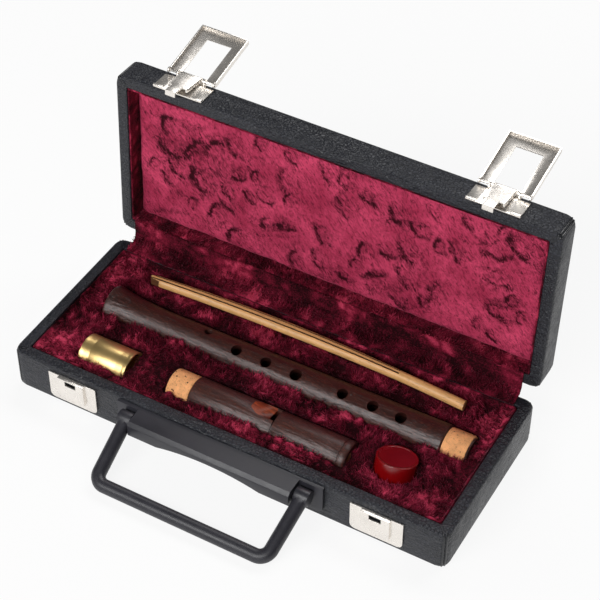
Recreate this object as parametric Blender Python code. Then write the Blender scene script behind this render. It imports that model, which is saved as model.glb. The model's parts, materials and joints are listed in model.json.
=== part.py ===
"""A two-piece soprano recorder in its open, plush-lined hard case.

The case stands on its underside with the lid open. X runs along the case to the
right, Y runs from the front wall to the hinges, Z is up, and the origin is the
middle of the underside. Sizes are in millimetres and become metres when a mesh
is made. The lid, the latches and the handle are drawn shut, as they would be on
a drawing of the closed case, and their pivots then open them.
"""

from math import asin, cos, degrees, pi, radians, sin, sqrt, tan

import bmesh
import bpy
from mathutils import Matrix, Vector

MILLIMETRE = 0.001

# Clearances
gap = 0.3                   # between two pieces that touch
running_gap = 0.3           # between a pin and its hole
seam = 0.4                  # between the rims of the shut case
bed_ease = 0.3              # between an instrument piece and the plush
overrun = 1.0               # how far a cutter runs past what it cuts
overlap = 0.5               # how far two shapes reach into each other to be one

# Case
case_length = 270.0
case_depth = 108.0
base_height = 26.0
lid_height = 17.6
corner_radius = 6.0
rim_width = 7.0
cover_thickness = 1.0
edge_round = 1.2
turn_in_depth = 6.0
turn_in_thickness = 0.8
board_floor = 2.5
lid_open_angle = 93.0
hinge_out = 4.6             # hinge line behind the back wall
hinge_up = 2.5              # hinge line above the base's rim

# Bed and lid lining
bed_below_rim = 3.0
plush_thickness = 2.1
pocket_lining = 1.2
pocket_headroom = 8.0
foam_split = 204.5           # from the case's left end
border_width = 1.5
border_below_rim = 0.4
border_round = 0.5
lining_thickness = 1.0
panel_edge = 0.4
panel_corner = 3.0
panel_board_thickness = 2.0
panel_pad_thickness = 3.2
panel_crown = 0.8
panel_round = 1.2
crown_reach = 30.0
web_thickness = 0.9
web_end_inset = 10.0
web_lap = 1.4
web_bend = 3.5

# Latches
latch_from_middle = 95.0
sheet = 0.8
catch_width = 31.0
catch_height = 19.0
catch_below_rim = 3.5
catch_corner = 3.0
catch_raise = 1.9
catch_raised_half = 8.5
catch_raised_height = 14.5
catch_slot_width = 7.0
catch_slot_height = 3.5
catch_hole_up = 2.2
catch_hole_radius = 0.6
bracket_width = 31.0
bracket_above_rim = 0.5
bracket_wing_height = 13.1
bracket_height = 16.1
bracket_tab_half = 9.5
bracket_lip_radius = 0.7
ear_inside = 8.2
ear_radius = 1.5
lever_width = 30.0
lever_reach = 37.0
lever_open_angle = 166.0
lever_pivot_out = 3.0
lever_pivot_above_rim = 15.6
lever_plate_out = 1.8
lever_plate_start = 1.5
lever_flange_in = 0.5
lever_eye_radius = 1.6
lever_pin_radius = 0.7
pin_stand_out = 0.3
window_half = 8.0
window_start = 3.2
window_end = 30.0
tongue_swing = 6.5
tongue_eye_radius = 1.5
tongue_flange_in = 1.1
tongue_half = 6.2
tongue_shoulder_above_rim = 0.7
tongue_tab_half = 3.15
tongue_tab_length = 2.4
tongue_tab_above_slot = 1.7
tongue_out = 3.4
prong_width = 3.0
prong_thickness = 0.6
prong_length = 3.3
catch_prong_apart = 22.0
catch_prong_below_top = 9.5
bracket_prong_apart = 24.0
bracket_prong_up = 7.1

# Hinges
hinge_from_middle = 80.0
hinge_length = 34.0
knuckle_radius = 2.2
knuckle_middle = 11.2
knuckle_space = 0.4
hinge_pin_radius = 0.9
leaf_height = 13.0
arm_thickness = 0.9
rivet_apart = 22.0
rivet_radius = 0.9
rivet_head_radius = 1.8
rivet_head_height = 0.8
rivet_length = 4.6
rivet_from_arm = 7.0

# Handle
flange_length = 128.0
flange_below_rim = 1.4
flange_height = 18.6
flange_corner = 3.0
flange_thickness = 2.0
grip_length = 100.0
grip_out = 14.0
grip_height = 11.1
grip_round = 2.0
relief_length = 78.0
relief_depth = 5.0
relief_back = 12.0
relief_tilt = 35.0
bail_radius = 4.0
bail_corner = 6.5
bail_half_at_pivot = 55.0
bail_half_at_bar = 53.0
bail_reach = 38.6
bail_pivot_out = 7.0
bail_pivot_below_top = 5.6
bail_off_table = 0.1
bail_eye_radius = 4.5
stub_radius = 2.0
stub_length = 4.2
screw_from_middle = 30.0
screw_below_top = 6.6
screw_radius = 1.2
screw_length = 14.0
screw_head_radius = 3.0
screw_head_height = 1.6
screw_head_recess = 2.2

# Recorder; places run from the left end and the front of the case
body_left = 24.5
body_length = 214.0
body_from_front = 63.0
body_roll = 18.0
body_bore = 6.5
bore_mouth = 0.8
bore_mouth_depth = 3.0
foot_radius = 12.8
waist_radius = 9.6
shoulder_radius = 11.0
flare_length = 40.0
flare_curve = 2.4
end_round = 0.6
head_left = 102.3
head_length = 96.8
head_from_front = 28.3
head_raise = 1.0
head_roll = -12.0
head_radius = 10.6
head_bore = 7.0
mouth_chamfer = 0.8
tenon_length = 15.0
tenon_chamfer = 0.4
cork_thickness = 1.0
cork_short = 1.2
hole_places = (84.8, 103.8, 122.9, 152.1, 170.7, 187.9)
hole_radii = (3.2, 3.2, 3.5, 3.1, 3.2, 3.3)
little_hole_place = 64.0
little_hole_radius = 2.6
little_hole_turn = -28.0
thumb_hole_place = 200.0
thumb_hole_radius = 2.8
labium_place = 47.7
cut_up = 3.4
window_width = 11.0
ramp_length = 13.5
ramp_floor = 7.5
ring_groove_width = 0.9
ring_groove_depth = 0.8
block_flat = 5.2
beak_radius = 42.0
beak_under = 3.0
beak_past_end = 2.0
sleeve_left = 32.0
sleeve_from_front = 26.0
sleeve_raise = 0.1
sleeve_radius = 11.3
sleeve_wall = 0.7
sleeve_edge = 0.3
band_from_end = 2.2
band_width = 4.5
band_groove = 0.15
band_slope = 0.2

# Cleaning rod
rod_left = 36.5
rod_length = 201.0
rod_from_front = 86.3
rod_bow = 4.0
rod_radius = 3.0
rod_belly = 4.0
slit_length = 160.0
slit_width = 0.5
slit_from_middle = 0.34     # share of the rod's half width

# Grease pot
pot_from_left = 223.5
pot_from_front = 30.2
pot_raise = 9.3
pot_tilt = 18.0
pot_height = 12.0
pot_wall = 2.1
pot_base_thickness = 1.3
pot_foot_round = 0.6
pot_lid_radius = 11.5
pot_lid_wall = 0.8
pot_lid_height = 10.8
pot_lid_top = 1.6
pot_lid_round = 0.8

# Facets
turned_sides = 28
small_sides = 10
hole_sides = 16
scoop_sides = 48
corner_steps = 4
trough_steps = 10
pit_steps = 10
flare_steps = 8
web_steps = 6
relief_steps = 14
bail_arm_steps = 3
bail_corner_steps = 5
rod_stations = 18

# Case, worked out
back_face = case_depth / 2
front_face = -case_depth / 2
lid_rim = base_height + seam
lid_top = lid_rim + lid_height
hinge_line = Vector((0.0, back_face + hinge_out, base_height + hinge_up))
board_outside = cover_thickness + gap
board_inside = rim_width - turn_in_thickness - gap
floor_top = board_outside + board_floor
bed_edge = rim_width + gap
bed_height = base_height - bed_below_rim
core_top = bed_height - plush_thickness - gap
pocket_top = base_height + pocket_headroom
pocket_floor = floor_top + gap + pocket_lining + bed_ease

# Latches and handle, worked out
catch_top = base_height - catch_below_rim
catch_slot_top = catch_top - sheet
catch_slot_bottom = catch_slot_top - catch_slot_height
flange_top = base_height - flange_below_rim
screw_height = flange_top - screw_below_top
screw_recess = front_face + board_inside - screw_head_recess
screw_seat = screw_recess + gap

# Recorder, rod and pot, worked out
cork_radius = sleeve_radius - sleeve_wall - gap
tenon_radius = cork_radius - cork_thickness - gap
cork_length = tenon_length - cork_short
sleeve_length = 2 * (tenon_length + gap)
body_height = pocket_floor + foot_radius
head_height = pocket_floor + head_radius + head_raise
sleeve_height = pocket_floor + sleeve_radius + sleeve_raise
rod_height = bed_height + gap + rod_radius
pot_floor = pocket_floor + pot_raise
pot_radius = pot_lid_radius - pot_lid_wall - gap

groups = {}
materials = {}


def clear_scene():
    for old in list(bpy.data.objects):
        bpy.data.objects.remove(old)


def make_material(name, colour, roughness, metallic=0.0):
    material = bpy.data.materials.new(name)
    material.use_nodes = True
    shader = material.node_tree.nodes["Principled BSDF"]
    shader.inputs["Base Color"].default_value = (*colour, 1.0)
    shader.inputs["Roughness"].default_value = roughness
    shader.inputs["Metallic"].default_value = metallic
    material.diffuse_color = (*colour, 1.0)
    return material


def make_group(name, origin, turn_about_x=0.0, parent=None):
    """An empty on a pivot; its pieces are drawn shut and then follow its turn."""
    empty = bpy.data.objects.new(name + "_pivot", None)
    bpy.context.collection.objects.link(empty)
    start = Vector(origin)
    if parent:
        empty.parent = groups[parent][0]
        start = start - groups[parent][1]
    empty.location = start * MILLIMETRE
    empty.rotation_euler = (radians(turn_about_x), 0.0, 0.0)
    groups[name] = (empty, Vector(origin))


def object_from(bm, name="piece"):
    bmesh.ops.recalc_face_normals(bm, faces=bm.faces)
    mesh = bpy.data.meshes.new(name)
    bm.to_mesh(mesh)
    bm.free()
    piece = bpy.data.objects.new(name, mesh)
    bpy.context.collection.objects.link(piece)
    return piece


def loft(loops, closed=False):
    """Skin through loops of points; the ends are capped unless it closes on itself."""
    bm = bmesh.new()
    rows = [[bm.verts.new(point) for point in loop] for loop in loops]
    count = len(rows[0])
    pairs = list(zip(rows, rows[1:]))
    if closed:
        pairs.append((rows[-1], rows[0]))
    for first, second in pairs:
        for i in range(count):
            j = (i + 1) % count
            bm.faces.new((first[i], first[j], second[j], second[i]))
    if not closed:
        bm.faces.new(rows[0])
        bm.faces.new(list(reversed(rows[-1])))
    return object_from(bm)


def box(x0, x1, y0, y1, z0, z1):
    bottom = [(x0, y0, z0), (x1, y0, z0), (x1, y1, z0), (x0, y1, z0)]
    top = [(x, y, z1) for x, y, z in bottom]
    return loft([bottom, top])


def slab(outline, x0, x1):
    """A flat outline of (y, z) points, drawn out along X."""
    return loft([[(x, y, z) for y, z in outline] for x in (x0, x1)])


def plate(outline, y0, y1):
    """A flat outline of (x, z) points, drawn out along Y."""
    return loft([[(x, y, z) for x, z in outline] for y in (y0, y1)])


def circle(radius, sides):
    return [(radius * cos(2 * pi * i / sides), radius * sin(2 * pi * i / sides))
            for i in range(sides)]


def turned_x(profile, y, z, sides=turned_sides, closed=False):
    """A piece turned about a line along X, from (x, radius) points."""
    loops = [[(x, y + a, z + b) for a, b in circle(radius, sides)] for x, radius in profile]
    return loft(loops, closed)


def turned_y(profile, x, z, sides=small_sides):
    """A piece turned about a line along Y, from (y, radius) points."""
    return loft([[(x + a, y, z + b) for a, b in circle(radius, sides)] for y, radius in profile])


def turned_z(profile, x, y, sides=turned_sides):
    """A piece turned about a line along Z, from (z, radius) points."""
    return loft([[(x + a, y + b, z) for a, b in circle(radius, sides)] for z, radius in profile])


def rod_x(x0, x1, y, z, radius, sides=small_sides):
    return turned_x([(x0, radius), (x1, radius)], y, z, sides)


def rod_y(x, z, y0, y1, radius):
    return turned_y([(y0, radius), (y1, radius)], x, z)


def rod_z(x, y, z0, z1, radius):
    return turned_z([(z0, radius), (z1, radius)], x, y, hole_sides)


def combine(piece, other, operation):
    """One exact Boolean, applied at once; the other piece is used up."""
    modifier = piece.modifiers.new(operation.lower(), "BOOLEAN")
    modifier.operation = operation
    modifier.object = other
    other.hide_render = True
    other.display_type = "WIRE"
    graph = bpy.context.evaluated_depsgraph_get()
    mesh = bpy.data.meshes.new_from_object(piece.evaluated_get(graph))
    piece.modifiers.clear()
    piece.data = mesh
    bpy.data.objects.remove(other)
    return piece


def cut(piece, *cutters):
    for cutter in cutters:
        combine(piece, cutter, "DIFFERENCE")
    return piece


def join(piece, *others):
    for other in others:
        combine(piece, other, "UNION")
    return piece


def turn_about(piece, origin, angle):
    """Turn a piece's own mesh about a line along X."""
    centre = Matrix.Translation(origin)
    turn = Matrix.Rotation(radians(angle), 4, "X")
    piece.data.transform(centre @ turn @ centre.inverted())
    return piece


def finish(piece, name, material, group="case", smooth_angle=35.0):
    """Name a piece, give it its material and hang it on its pivot, in metres."""
    empty, origin = groups[group]
    piece.name = name
    piece.data.name = name
    piece.data.transform(Matrix.Translation(-origin))
    piece.data.transform(Matrix.Scale(MILLIMETRE, 4))
    piece.data.materials.clear()
    piece.data.materials.append(materials[material])
    piece.data.shade_smooth()
    piece.data.set_sharp_from_angle(angle=radians(smooth_angle))
    piece.parent = empty
    return piece


def rounded_loop(inset, z, radius=None):
    """The case's outline, drawn in by an inset, at one height."""
    half_x = case_length / 2 - inset
    half_y = case_depth / 2 - inset
    r = max(corner_radius - inset, overrun) if radius is None else radius
    points = []
    for corner, (sx, sy) in enumerate(((1, 1), (-1, 1), (-1, -1), (1, -1))):
        for step in range(corner_steps + 1):
            angle = pi / 2 * (corner + step / corner_steps)
            points.append((sx * (half_x - r) + r * cos(angle), sy * (half_y - r) + r * sin(angle), z))
    return points


def in_base(z):
    return z


def in_lid(z):
    return lid_top - z


def tray_cover(height, place):
    """The leatherette skin of one half: outside, over the rim and a turn-in inside."""
    slope = edge_round * (1 - sqrt(0.5))
    half = turn_in_thickness / 2
    steps = (
        (cover_thickness, cover_thickness),
        (cover_thickness, height - cover_thickness),
        (rim_width - turn_in_thickness, height - cover_thickness),
        (rim_width - turn_in_thickness, height - turn_in_depth),
        (rim_width, height - turn_in_depth),
        (rim_width, height - half),
        (rim_width - half, height),
        (edge_round, height),
        (slope, height - slope),
        (0.0, height - edge_round),
        (0.0, edge_round),
        (slope, slope),
        (edge_round, 0.0),
    )
    return loft([rounded_loop(inset, place(z)) for inset, z in steps])


def tray_board(height, place):
    """The wooden tray inside the skin."""
    top = height - board_outside
    steps = ((board_inside, floor_top), (board_inside, top), (board_outside, top),
             (board_outside, board_outside))
    return loft([rounded_loop(inset, place(z)) for inset, z in steps])


def prong_boxes(x, apart, level, start, end, spare):
    """A pair of flat prongs into the front wall, or with spare room the slots for them."""
    half_x = prong_width / 2 + spare
    half_z = prong_thickness / 2 + spare
    return [box(middle - half_x, middle + half_x, start, end, level - half_z, level + half_z)
            for middle in (x - apart / 2, x + apart / 2)]


def prongs(x, apart, level):
    return prong_boxes(x, apart, level, front_face - gap - sheet / 2, front_face + prong_length, 0.0)


def wall_holes(apart, level, rivet_level):
    """Cutters for the latch prongs in the front wall and the rivets in the back wall."""
    end = front_face + prong_length + running_gap
    holes = []
    for side in (-1, 1):
        x = side * latch_from_middle
        holes += prong_boxes(x, apart, level, front_face - overrun, end, running_gap)
        for hand in (-1, 1):
            rivet_x = side * hinge_from_middle + hand * rivet_apart / 2
            holes.append(rod_y(rivet_x, rivet_level, back_face - rivet_length - gap, back_face + overrun,
                               rivet_radius + running_gap))
    return holes


def screw_holes(start, end, radius):
    return [rod_y(side * screw_from_middle, screw_height, start, end, radius + running_gap)
            for side in (-1, 1)]


def make_case_halves():
    base_rivets = hinge_line.z - knuckle_radius - rivet_from_arm
    lid_rivets = hinge_line.z + knuckle_radius + rivet_from_arm
    base_cover = tray_cover(base_height, in_base)
    base_board = tray_board(base_height, in_base)
    for piece in (base_cover, base_board):
        cut(piece, *wall_holes(catch_prong_apart, catch_top - catch_prong_below_top, base_rivets))
        cut(piece, *screw_holes(front_face - overrun, screw_recess + overrun, screw_radius))
    cut(base_board, *screw_holes(screw_recess, front_face + board_inside + overrun, screw_head_radius))
    lid_cover = tray_cover(lid_height, in_lid)
    lid_board = tray_board(lid_height, in_lid)
    bracket_prongs = lid_rim + bracket_above_rim + bracket_prong_up
    for piece in (lid_cover, lid_board):
        cut(piece, *wall_holes(bracket_prong_apart, bracket_prongs, lid_rivets))
    finish(base_cover, "base_cover", "leatherette")
    finish(base_board, "base_board", "board")
    finish(lid_cover, "lid_cover", "leatherette", "lid")
    finish(lid_board, "lid_board", "board", "lid")


def body_profile():
    """The body's outer radius from the foot to the shoulder, as (x, radius) points."""
    points = [(0.0, foot_radius - end_round), (end_round, foot_radius)]
    for step in range(1, flare_steps + 1):
        t = step / flare_steps
        swell = (foot_radius - waist_radius) * (1 - t) ** flare_curve
        points.append((end_round + flare_length * t, waist_radius + swell))
    straight = body_length - flare_length - 2 * end_round
    for t in (1 / 3, 2 / 3, 1.0):
        widening = (shoulder_radius - waist_radius) * t
        points.append((end_round + flare_length + straight * t, waist_radius + widening))
    points.append((body_length, shoulder_radius - end_round))
    return points


def head_profile():
    """The head's outer radius from the shoulder to the mouth end."""
    return [(0.0, head_radius - end_round), (end_round, head_radius),
            (head_length - mouth_chamfer, head_radius), (head_length, head_radius - mouth_chamfer)]


def placed(profile, left):
    return [(left - case_length / 2 + x, radius) for x, radius in profile]


def trough(profile, y, z, ease):
    """A pocket cutter: round below the axis, straight up above it, open at the top."""
    ends = [(profile[0][0] - ease, profile[0][1])] + profile + [(profile[-1][0] + ease, profile[-1][1])]
    loops = []
    for x, radius in ends:
        wide = radius + ease
        loop = [(x, y - wide, pocket_top)]
        for step in range(trough_steps + 1):
            angle = pi + pi * step / trough_steps
            loop.append((x, y + wide * cos(angle), z + wide * sin(angle)))
        loop.append((x, y + wide, pocket_top))
        loops.append(loop)
    return loft(loops)


def pot_pit(ease):
    """The upright pocket that the leaning pot drops into."""
    lean = radians(pot_tilt)
    wide = pot_lid_radius + ease
    low = pot_floor - pot_lid_radius * sin(lean) - ease
    x = pot_from_left - case_length / 2
    front = pot_from_front - case_depth / 2
    back = front + (pot_height + pot_lid_top) * sin(lean)
    outline = []
    for middle, start in ((back, 0.0), (front, pi)):
        for step in range(pit_steps + 1):
            angle = start + pi * step / pit_steps
            outline.append((x + wide * cos(angle), middle + wide * sin(angle)))
    return loft([[(px, py, z) for px, py in outline] for z in (low, pocket_top)])


def bed_pockets(ease):
    """Cutters for all that lies in the bed, each larger than its piece by the ease."""
    body_shape = body_profile()[:-1] + [(body_length + tenon_length, shoulder_radius)]
    head_shape = [(-tenon_length, head_radius), (head_length, head_radius)]
    sleeve_shape = [(0.0, sleeve_radius), (sleeve_length, sleeve_radius)]
    pockets = [trough(placed(shape, left), from_front - case_depth / 2, height, ease)
               for shape, left, from_front, height in (
                   (body_shape, body_left, body_from_front, body_height),
                   (head_shape, head_left, head_from_front, head_height),
                   (sleeve_shape, sleeve_left, sleeve_from_front, sleeve_height))]
    return pockets + [pot_pit(ease)]


def make_bed():
    """Two foam blocks under a plush skin, which also lines every pocket."""
    floor = floor_top + gap
    split = foam_split - case_length / 2
    for side, start, end in (("left", -case_length, split - gap / 2),
                             ("right", split + gap / 2, case_length)):
        core = loft([rounded_loop(bed_edge, z) for z in (floor, core_top)])
        cut(core, *bed_pockets(bed_ease + pocket_lining + gap))
        block = box(start, end, -case_depth, case_depth, floor - overrun, core_top + overrun)
        finish(combine(core, block, "INTERSECT"), "bed_core_" + side, "foam")
    under = core_top + gap
    border_top = base_height - border_below_rim
    inner = bed_edge + border_width
    steps = ((bed_edge, under), (bed_edge, border_top - border_round), (bed_edge + border_round, border_top),
             (inner - border_round, border_top), (inner, border_top - border_round),
             (inner + border_round, bed_height + border_round), (inner + 3 * border_round, bed_height))
    plush = loft([rounded_loop(inset, z) for inset, z in steps])
    for pocket in bed_pockets(bed_ease + pocket_lining):
        trim = box(-case_length, case_length, -case_depth, case_depth, floor, under + overlap)
        join(plush, combine(pocket, trim, "INTERSECT"))
    cut(plush, *bed_pockets(bed_ease))
    finish(plush, "bed_plush", "plush")


def make_lid_lining():
    low = floor_top + gap
    high = lid_height - border_below_rim
    inside = bed_edge + lining_thickness
    steps = ((bed_edge, low), (bed_edge, high), (inside, high), (inside, low))
    lining = loft([rounded_loop(inset, in_lid(z)) for inset, z in steps], closed=True)
    finish(lining, "lid_wall_lining", "plush", "lid")
    edge = inside + panel_edge
    board_high = low + panel_board_thickness
    board = loft([rounded_loop(edge, in_lid(z), panel_corner) for z in (low, board_high)])
    finish(board, "lid_panel_board", "board", "lid")
    pad_low = board_high + gap
    pad_high = pad_low + panel_pad_thickness
    steps = [(0.0, pad_low), (0.0, pad_high - panel_round),
             (panel_round / 3, pad_high - panel_round / 3), (panel_round, pad_high)]
    for t in (1 / 3, 2 / 3, 1.0):
        steps.append((panel_round + t * crown_reach, pad_high + panel_crown * t * (2 - t)))
    velvet = loft([rounded_loop(edge + inset, in_lid(z), panel_corner) for inset, z in steps])
    finish(velvet, "lid_panel_velvet", "velvet", "lid")


def opened(y, z):
    """Where a point of the shut lid lies when the lid stands open."""
    angle = radians(lid_open_angle)
    dy = y - hinge_line.y
    dz = z - hinge_line.z
    return (hinge_line.y + dy * cos(angle) + dz * sin(angle),
            hinge_line.z - dy * sin(angle) + dz * cos(angle))


def make_hinge_web():
    """The plush strip that lies over both back rims and closes the gap between them."""
    half = web_thickness / 2
    rest = gap + half
    level = base_height + rest
    lap = back_face - rim_width - web_lap
    corner_y, corner_z = opened(back_face, lid_rim)
    far_y, far_z = opened(lap, lid_rim)
    foot = Vector((back_face - web_bend, level))
    bend = Vector((corner_y - rest, level))
    head = Vector((corner_y - rest, corner_z))
    path = [Vector((lap, level))]
    for step in range(web_steps + 1):
        t = step / web_steps
        path.append(foot.lerp(bend, t).lerp(bend.lerp(head, t), t))
    path.append(Vector((far_y - rest, far_z)))
    upper = []
    lower = []
    for i, point in enumerate(path):
        along = path[min(i + 1, len(path) - 1)] - path[max(i - 1, 0)]
        away = Vector((-along.y, along.x)).normalized() * half
        upper.append(point + away)
        lower.append(point - away)
    reach = case_length / 2 - web_end_inset
    finish(slab(upper + list(reversed(lower)), -reach, reach), "hinge_web", "plush")


def round_bottomed(x, half_width, low, high, corner):
    """A plate's outline with round lower corners, as (x, z) points."""
    points = [(x + half_width, high), (x - half_width, high)]
    for middle, start in ((x - half_width + corner, pi), (x + half_width - corner, 1.5 * pi)):
        for step in range(corner_steps):
            angle = start + pi / 2 * step / (corner_steps - 1)
            points.append((middle + corner * cos(angle), low + corner + corner * sin(angle)))
    return points


def make_catch(x, side):
    """The keeper on the base: a pressed plate with a raised middle and a slot."""
    wall = front_face - gap
    low = catch_top - catch_height
    keeper = plate(round_bottomed(x, catch_width / 2, low, catch_top, catch_corner), wall - sheet, wall)
    out = wall - sheet - catch_raise
    raised = catch_top - catch_raised_height
    half = catch_raised_half
    inner = half - sheet
    slot = catch_slot_width / 2
    join(keeper, box(x - half, x + half, out, wall, raised, catch_top))
    cut(keeper, box(x - inner, x + inner, out + sheet, wall + overrun, raised + sheet, catch_top - sheet))
    cut(keeper, box(x - slot, x + slot, out - overrun, out + 1.5 * sheet, catch_slot_bottom, catch_slot_top))
    cut(keeper, rod_y(x, low + catch_hole_up, wall - sheet - overrun, wall + overrun, catch_hole_radius))
    join(keeper, *prongs(x, catch_prong_apart, catch_top - catch_prong_below_top))
    finish(keeper, "catch_plate_" + side, "nickel")


def make_bracket(x, side, pivot):
    """The plate on the lid that carries the lever between two ears."""
    wall = front_face - gap
    half = bracket_width / 2
    low = lid_rim + bracket_above_rim
    wing_top = low + bracket_wing_height
    top = low + bracket_height
    bracket = box(x - half, x + half, wall - sheet, wall, low, wing_top)
    tab = bracket_tab_half
    join(bracket, box(x - tab, x + tab, wall - sheet, wall, wing_top - overlap, top))
    lip_y = wall - sheet / 2 - bracket_lip_radius
    for hand in (-1, 1):
        ends = sorted((x + hand * tab, x + hand * half))
        join(bracket, rod_x(*ends, lip_y, low + bracket_lip_radius, bracket_lip_radius))
        ends = sorted((x + hand * ear_inside, x + hand * (ear_inside + sheet)))
        ear = box(*ends, pivot.y, wall - sheet / 2, pivot.z - ear_radius, top)
        join(ear, rod_x(*ends, pivot.y, pivot.z, ear_radius))
        cut(ear, rod_x(ends[0] - overrun, ends[1] + overrun, pivot.y, pivot.z,
                       lever_pin_radius + running_gap))
        join(bracket, ear)
    join(bracket, *prongs(x, bracket_prong_apart, low + bracket_prong_up))
    finish(bracket, "latch_bracket_" + side, "nickel", "lid")


def make_lever(x, side, pivot):
    """The pressed frame that folds down over the catch, drawn shut."""
    half = lever_width / 2
    inner = pivot.y - lever_plate_out
    outer = inner - sheet
    edge = pivot.y + lever_flange_in
    bottom = pivot.z - lever_reach
    lever = box(x - half, x + half, outer, inner, bottom, pivot.z - lever_plate_start)
    for hand in (-1, 1):
        ends = sorted((x + hand * half, x + hand * (half - sheet)))
        flange = box(*ends, outer + sheet / 2, edge, bottom, pivot.z)
        join(flange, rod_x(*ends, pivot.y, pivot.z, lever_eye_radius))
        join(lever, flange)
    join(lever, box(x - half, x + half, outer + sheet / 2, edge, bottom, bottom + sheet))
    cut(lever, box(x - window_half, x + window_half, outer - overrun, inner + overrun,
                   pivot.z - window_end, pivot.z - window_start))
    reach = half + overrun
    cut(lever, rod_x(x - reach, x + reach, pivot.y, pivot.z, lever_pin_radius + running_gap))
    finish(lever, "latch_lever_" + side, "nickel", "lever_" + side)


def make_tongue(x, side, pivot):
    """The folded hook hung on the lever's pin, drawn with its tab in the catch's slot."""
    inner = front_face - tongue_out
    outer = inner - sheet
    shoulder = lid_rim + tongue_shoulder_above_rim
    low = catch_slot_bottom + tongue_tab_above_slot
    tab = tongue_tab_half
    tongue = box(x - tongue_half, x + tongue_half, outer, inner, shoulder, pivot.z)
    join(tongue, rod_x(x - tongue_half, x + tongue_half, pivot.y, pivot.z, tongue_eye_radius))
    for hand in (-1, 1):
        ends = sorted((x + hand * tongue_half, x + hand * (tongue_half - sheet)))
        join(tongue, box(*ends, outer + sheet / 2, pivot.y + tongue_flange_in,
                         shoulder, pivot.z - tongue_eye_radius + gap))
    join(tongue, box(x - tab, x + tab, outer, inner, low, shoulder + overlap))
    join(tongue, box(x - tab, x + tab, outer, inner + tongue_tab_length, low, low + sheet))
    reach = tongue_half + overrun
    cut(tongue, rod_x(x - reach, x + reach, pivot.y, pivot.z, lever_pin_radius + running_gap))
    finish(tongue, "latch_tongue_" + side, "nickel", "tongue_" + side)


def make_latches():
    for side, x in (("left", -latch_from_middle), ("right", latch_from_middle)):
        pivot = Vector((x, front_face - lever_pivot_out, lid_rim + lever_pivot_above_rim))
        make_group("lever_" + side, pivot, -lever_open_angle, "lid")
        make_group("tongue_" + side, pivot, -tongue_swing, "lid")
        make_catch(x, side)
        make_bracket(x, side, pivot)
        make_lever(x, side, pivot)
        make_tongue(x, side, pivot)
        reach = lever_width / 2 + pin_stand_out
        lever_pin = rod_x(x - reach, x + reach, pivot.y, pivot.z, lever_pin_radius)
        finish(lever_pin, "lever_pin_" + side, "nickel", "lid")


def make_leaf(x, rise, knuckles):
    """One hinge leaf on a back wall; rise is -1 below the hinge line and 1 above it."""
    wall = back_face + gap
    level = hinge_line.z + rise * knuckle_radius
    rivet_level = level + rise * rivet_from_arm
    half = hinge_length / 2
    low, high = sorted((level, level + rise * leaf_height))
    leaf = box(x - half, x + half, wall, wall + sheet, low, high)
    for start, end in knuckles:
        join(leaf, box(x + start, x + end, wall, hinge_line.y,
                       level - arm_thickness / 2, level + arm_thickness / 2))
        join(leaf, rod_x(x + start, x + end, hinge_line.y, hinge_line.z, knuckle_radius))
    cut(leaf, rod_x(x - half - overrun, x + half + overrun, hinge_line.y, hinge_line.z,
                    hinge_pin_radius + running_gap))
    for hand in (-1, 1):
        cut(leaf, rod_y(x + hand * rivet_apart / 2, rivet_level, wall - overrun, wall + sheet + overrun,
                        rivet_radius + running_gap))
    return leaf, rivet_level


def make_rivet(x, z):
    """A round-headed rivet through the leaf and into the back wall."""
    head = back_face + gap + sheet + gap
    steps = [(back_face - rivet_length, rivet_radius), (head, rivet_radius)]
    for rise, narrowing in ((0.0, 1.0), (0.6, 0.85), (1.0, 0.4)):
        steps.append((head + rise * rivet_head_height, narrowing * rivet_head_radius))
    return turned_y(steps, x, z)


def make_hinges():
    half = hinge_length / 2
    middle = knuckle_middle / 2
    outer_knuckles = ((-half, -middle - knuckle_space), (middle + knuckle_space, half))
    for side, x in (("left", -hinge_from_middle), ("right", hinge_from_middle)):
        leaf, base_level = make_leaf(x, -1, outer_knuckles)
        finish(leaf, "hinge_base_leaf_" + side, "nickel")
        leaf, lid_level = make_leaf(x, 1, ((-middle, middle),))
        finish(leaf, "hinge_lid_leaf_" + side, "nickel", "lid")
        reach = half + pin_stand_out
        pin = rod_x(x - reach, x + reach, hinge_line.y, hinge_line.z, hinge_pin_radius)
        finish(pin, "hinge_pin_" + side, "nickel")
        for number, hand in enumerate((-1, 1), start=1):
            rivet_x = x + hand * rivet_apart / 2
            finish(make_rivet(rivet_x, base_level), "hinge_base_rivet_%s_%d" % (side, number), "nickel")
            finish(make_rivet(rivet_x, lid_level), "hinge_lid_rivet_%s_%d" % (side, number), "nickel", "lid")


def finger_relief(front, low):
    """The shallow arched cutter that hollows the grip's lower front edge for the fingers."""
    chord = relief_length / 2
    bow = relief_depth
    arc_radius = (chord ** 2 + bow ** 2) / (2 * bow)
    arc = []
    for step in range(relief_steps + 1):
        across = -chord + 2 * chord * step / relief_steps
        arc.append((across, low + bow - arc_radius + sqrt(arc_radius ** 2 - across ** 2)))
    arc += [(chord, low - grip_out), (-chord, low - grip_out)]
    relief = plate(arc, front - grip_out, front + relief_back)
    return turn_about(relief, (0, front, low), -relief_tilt)


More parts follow.
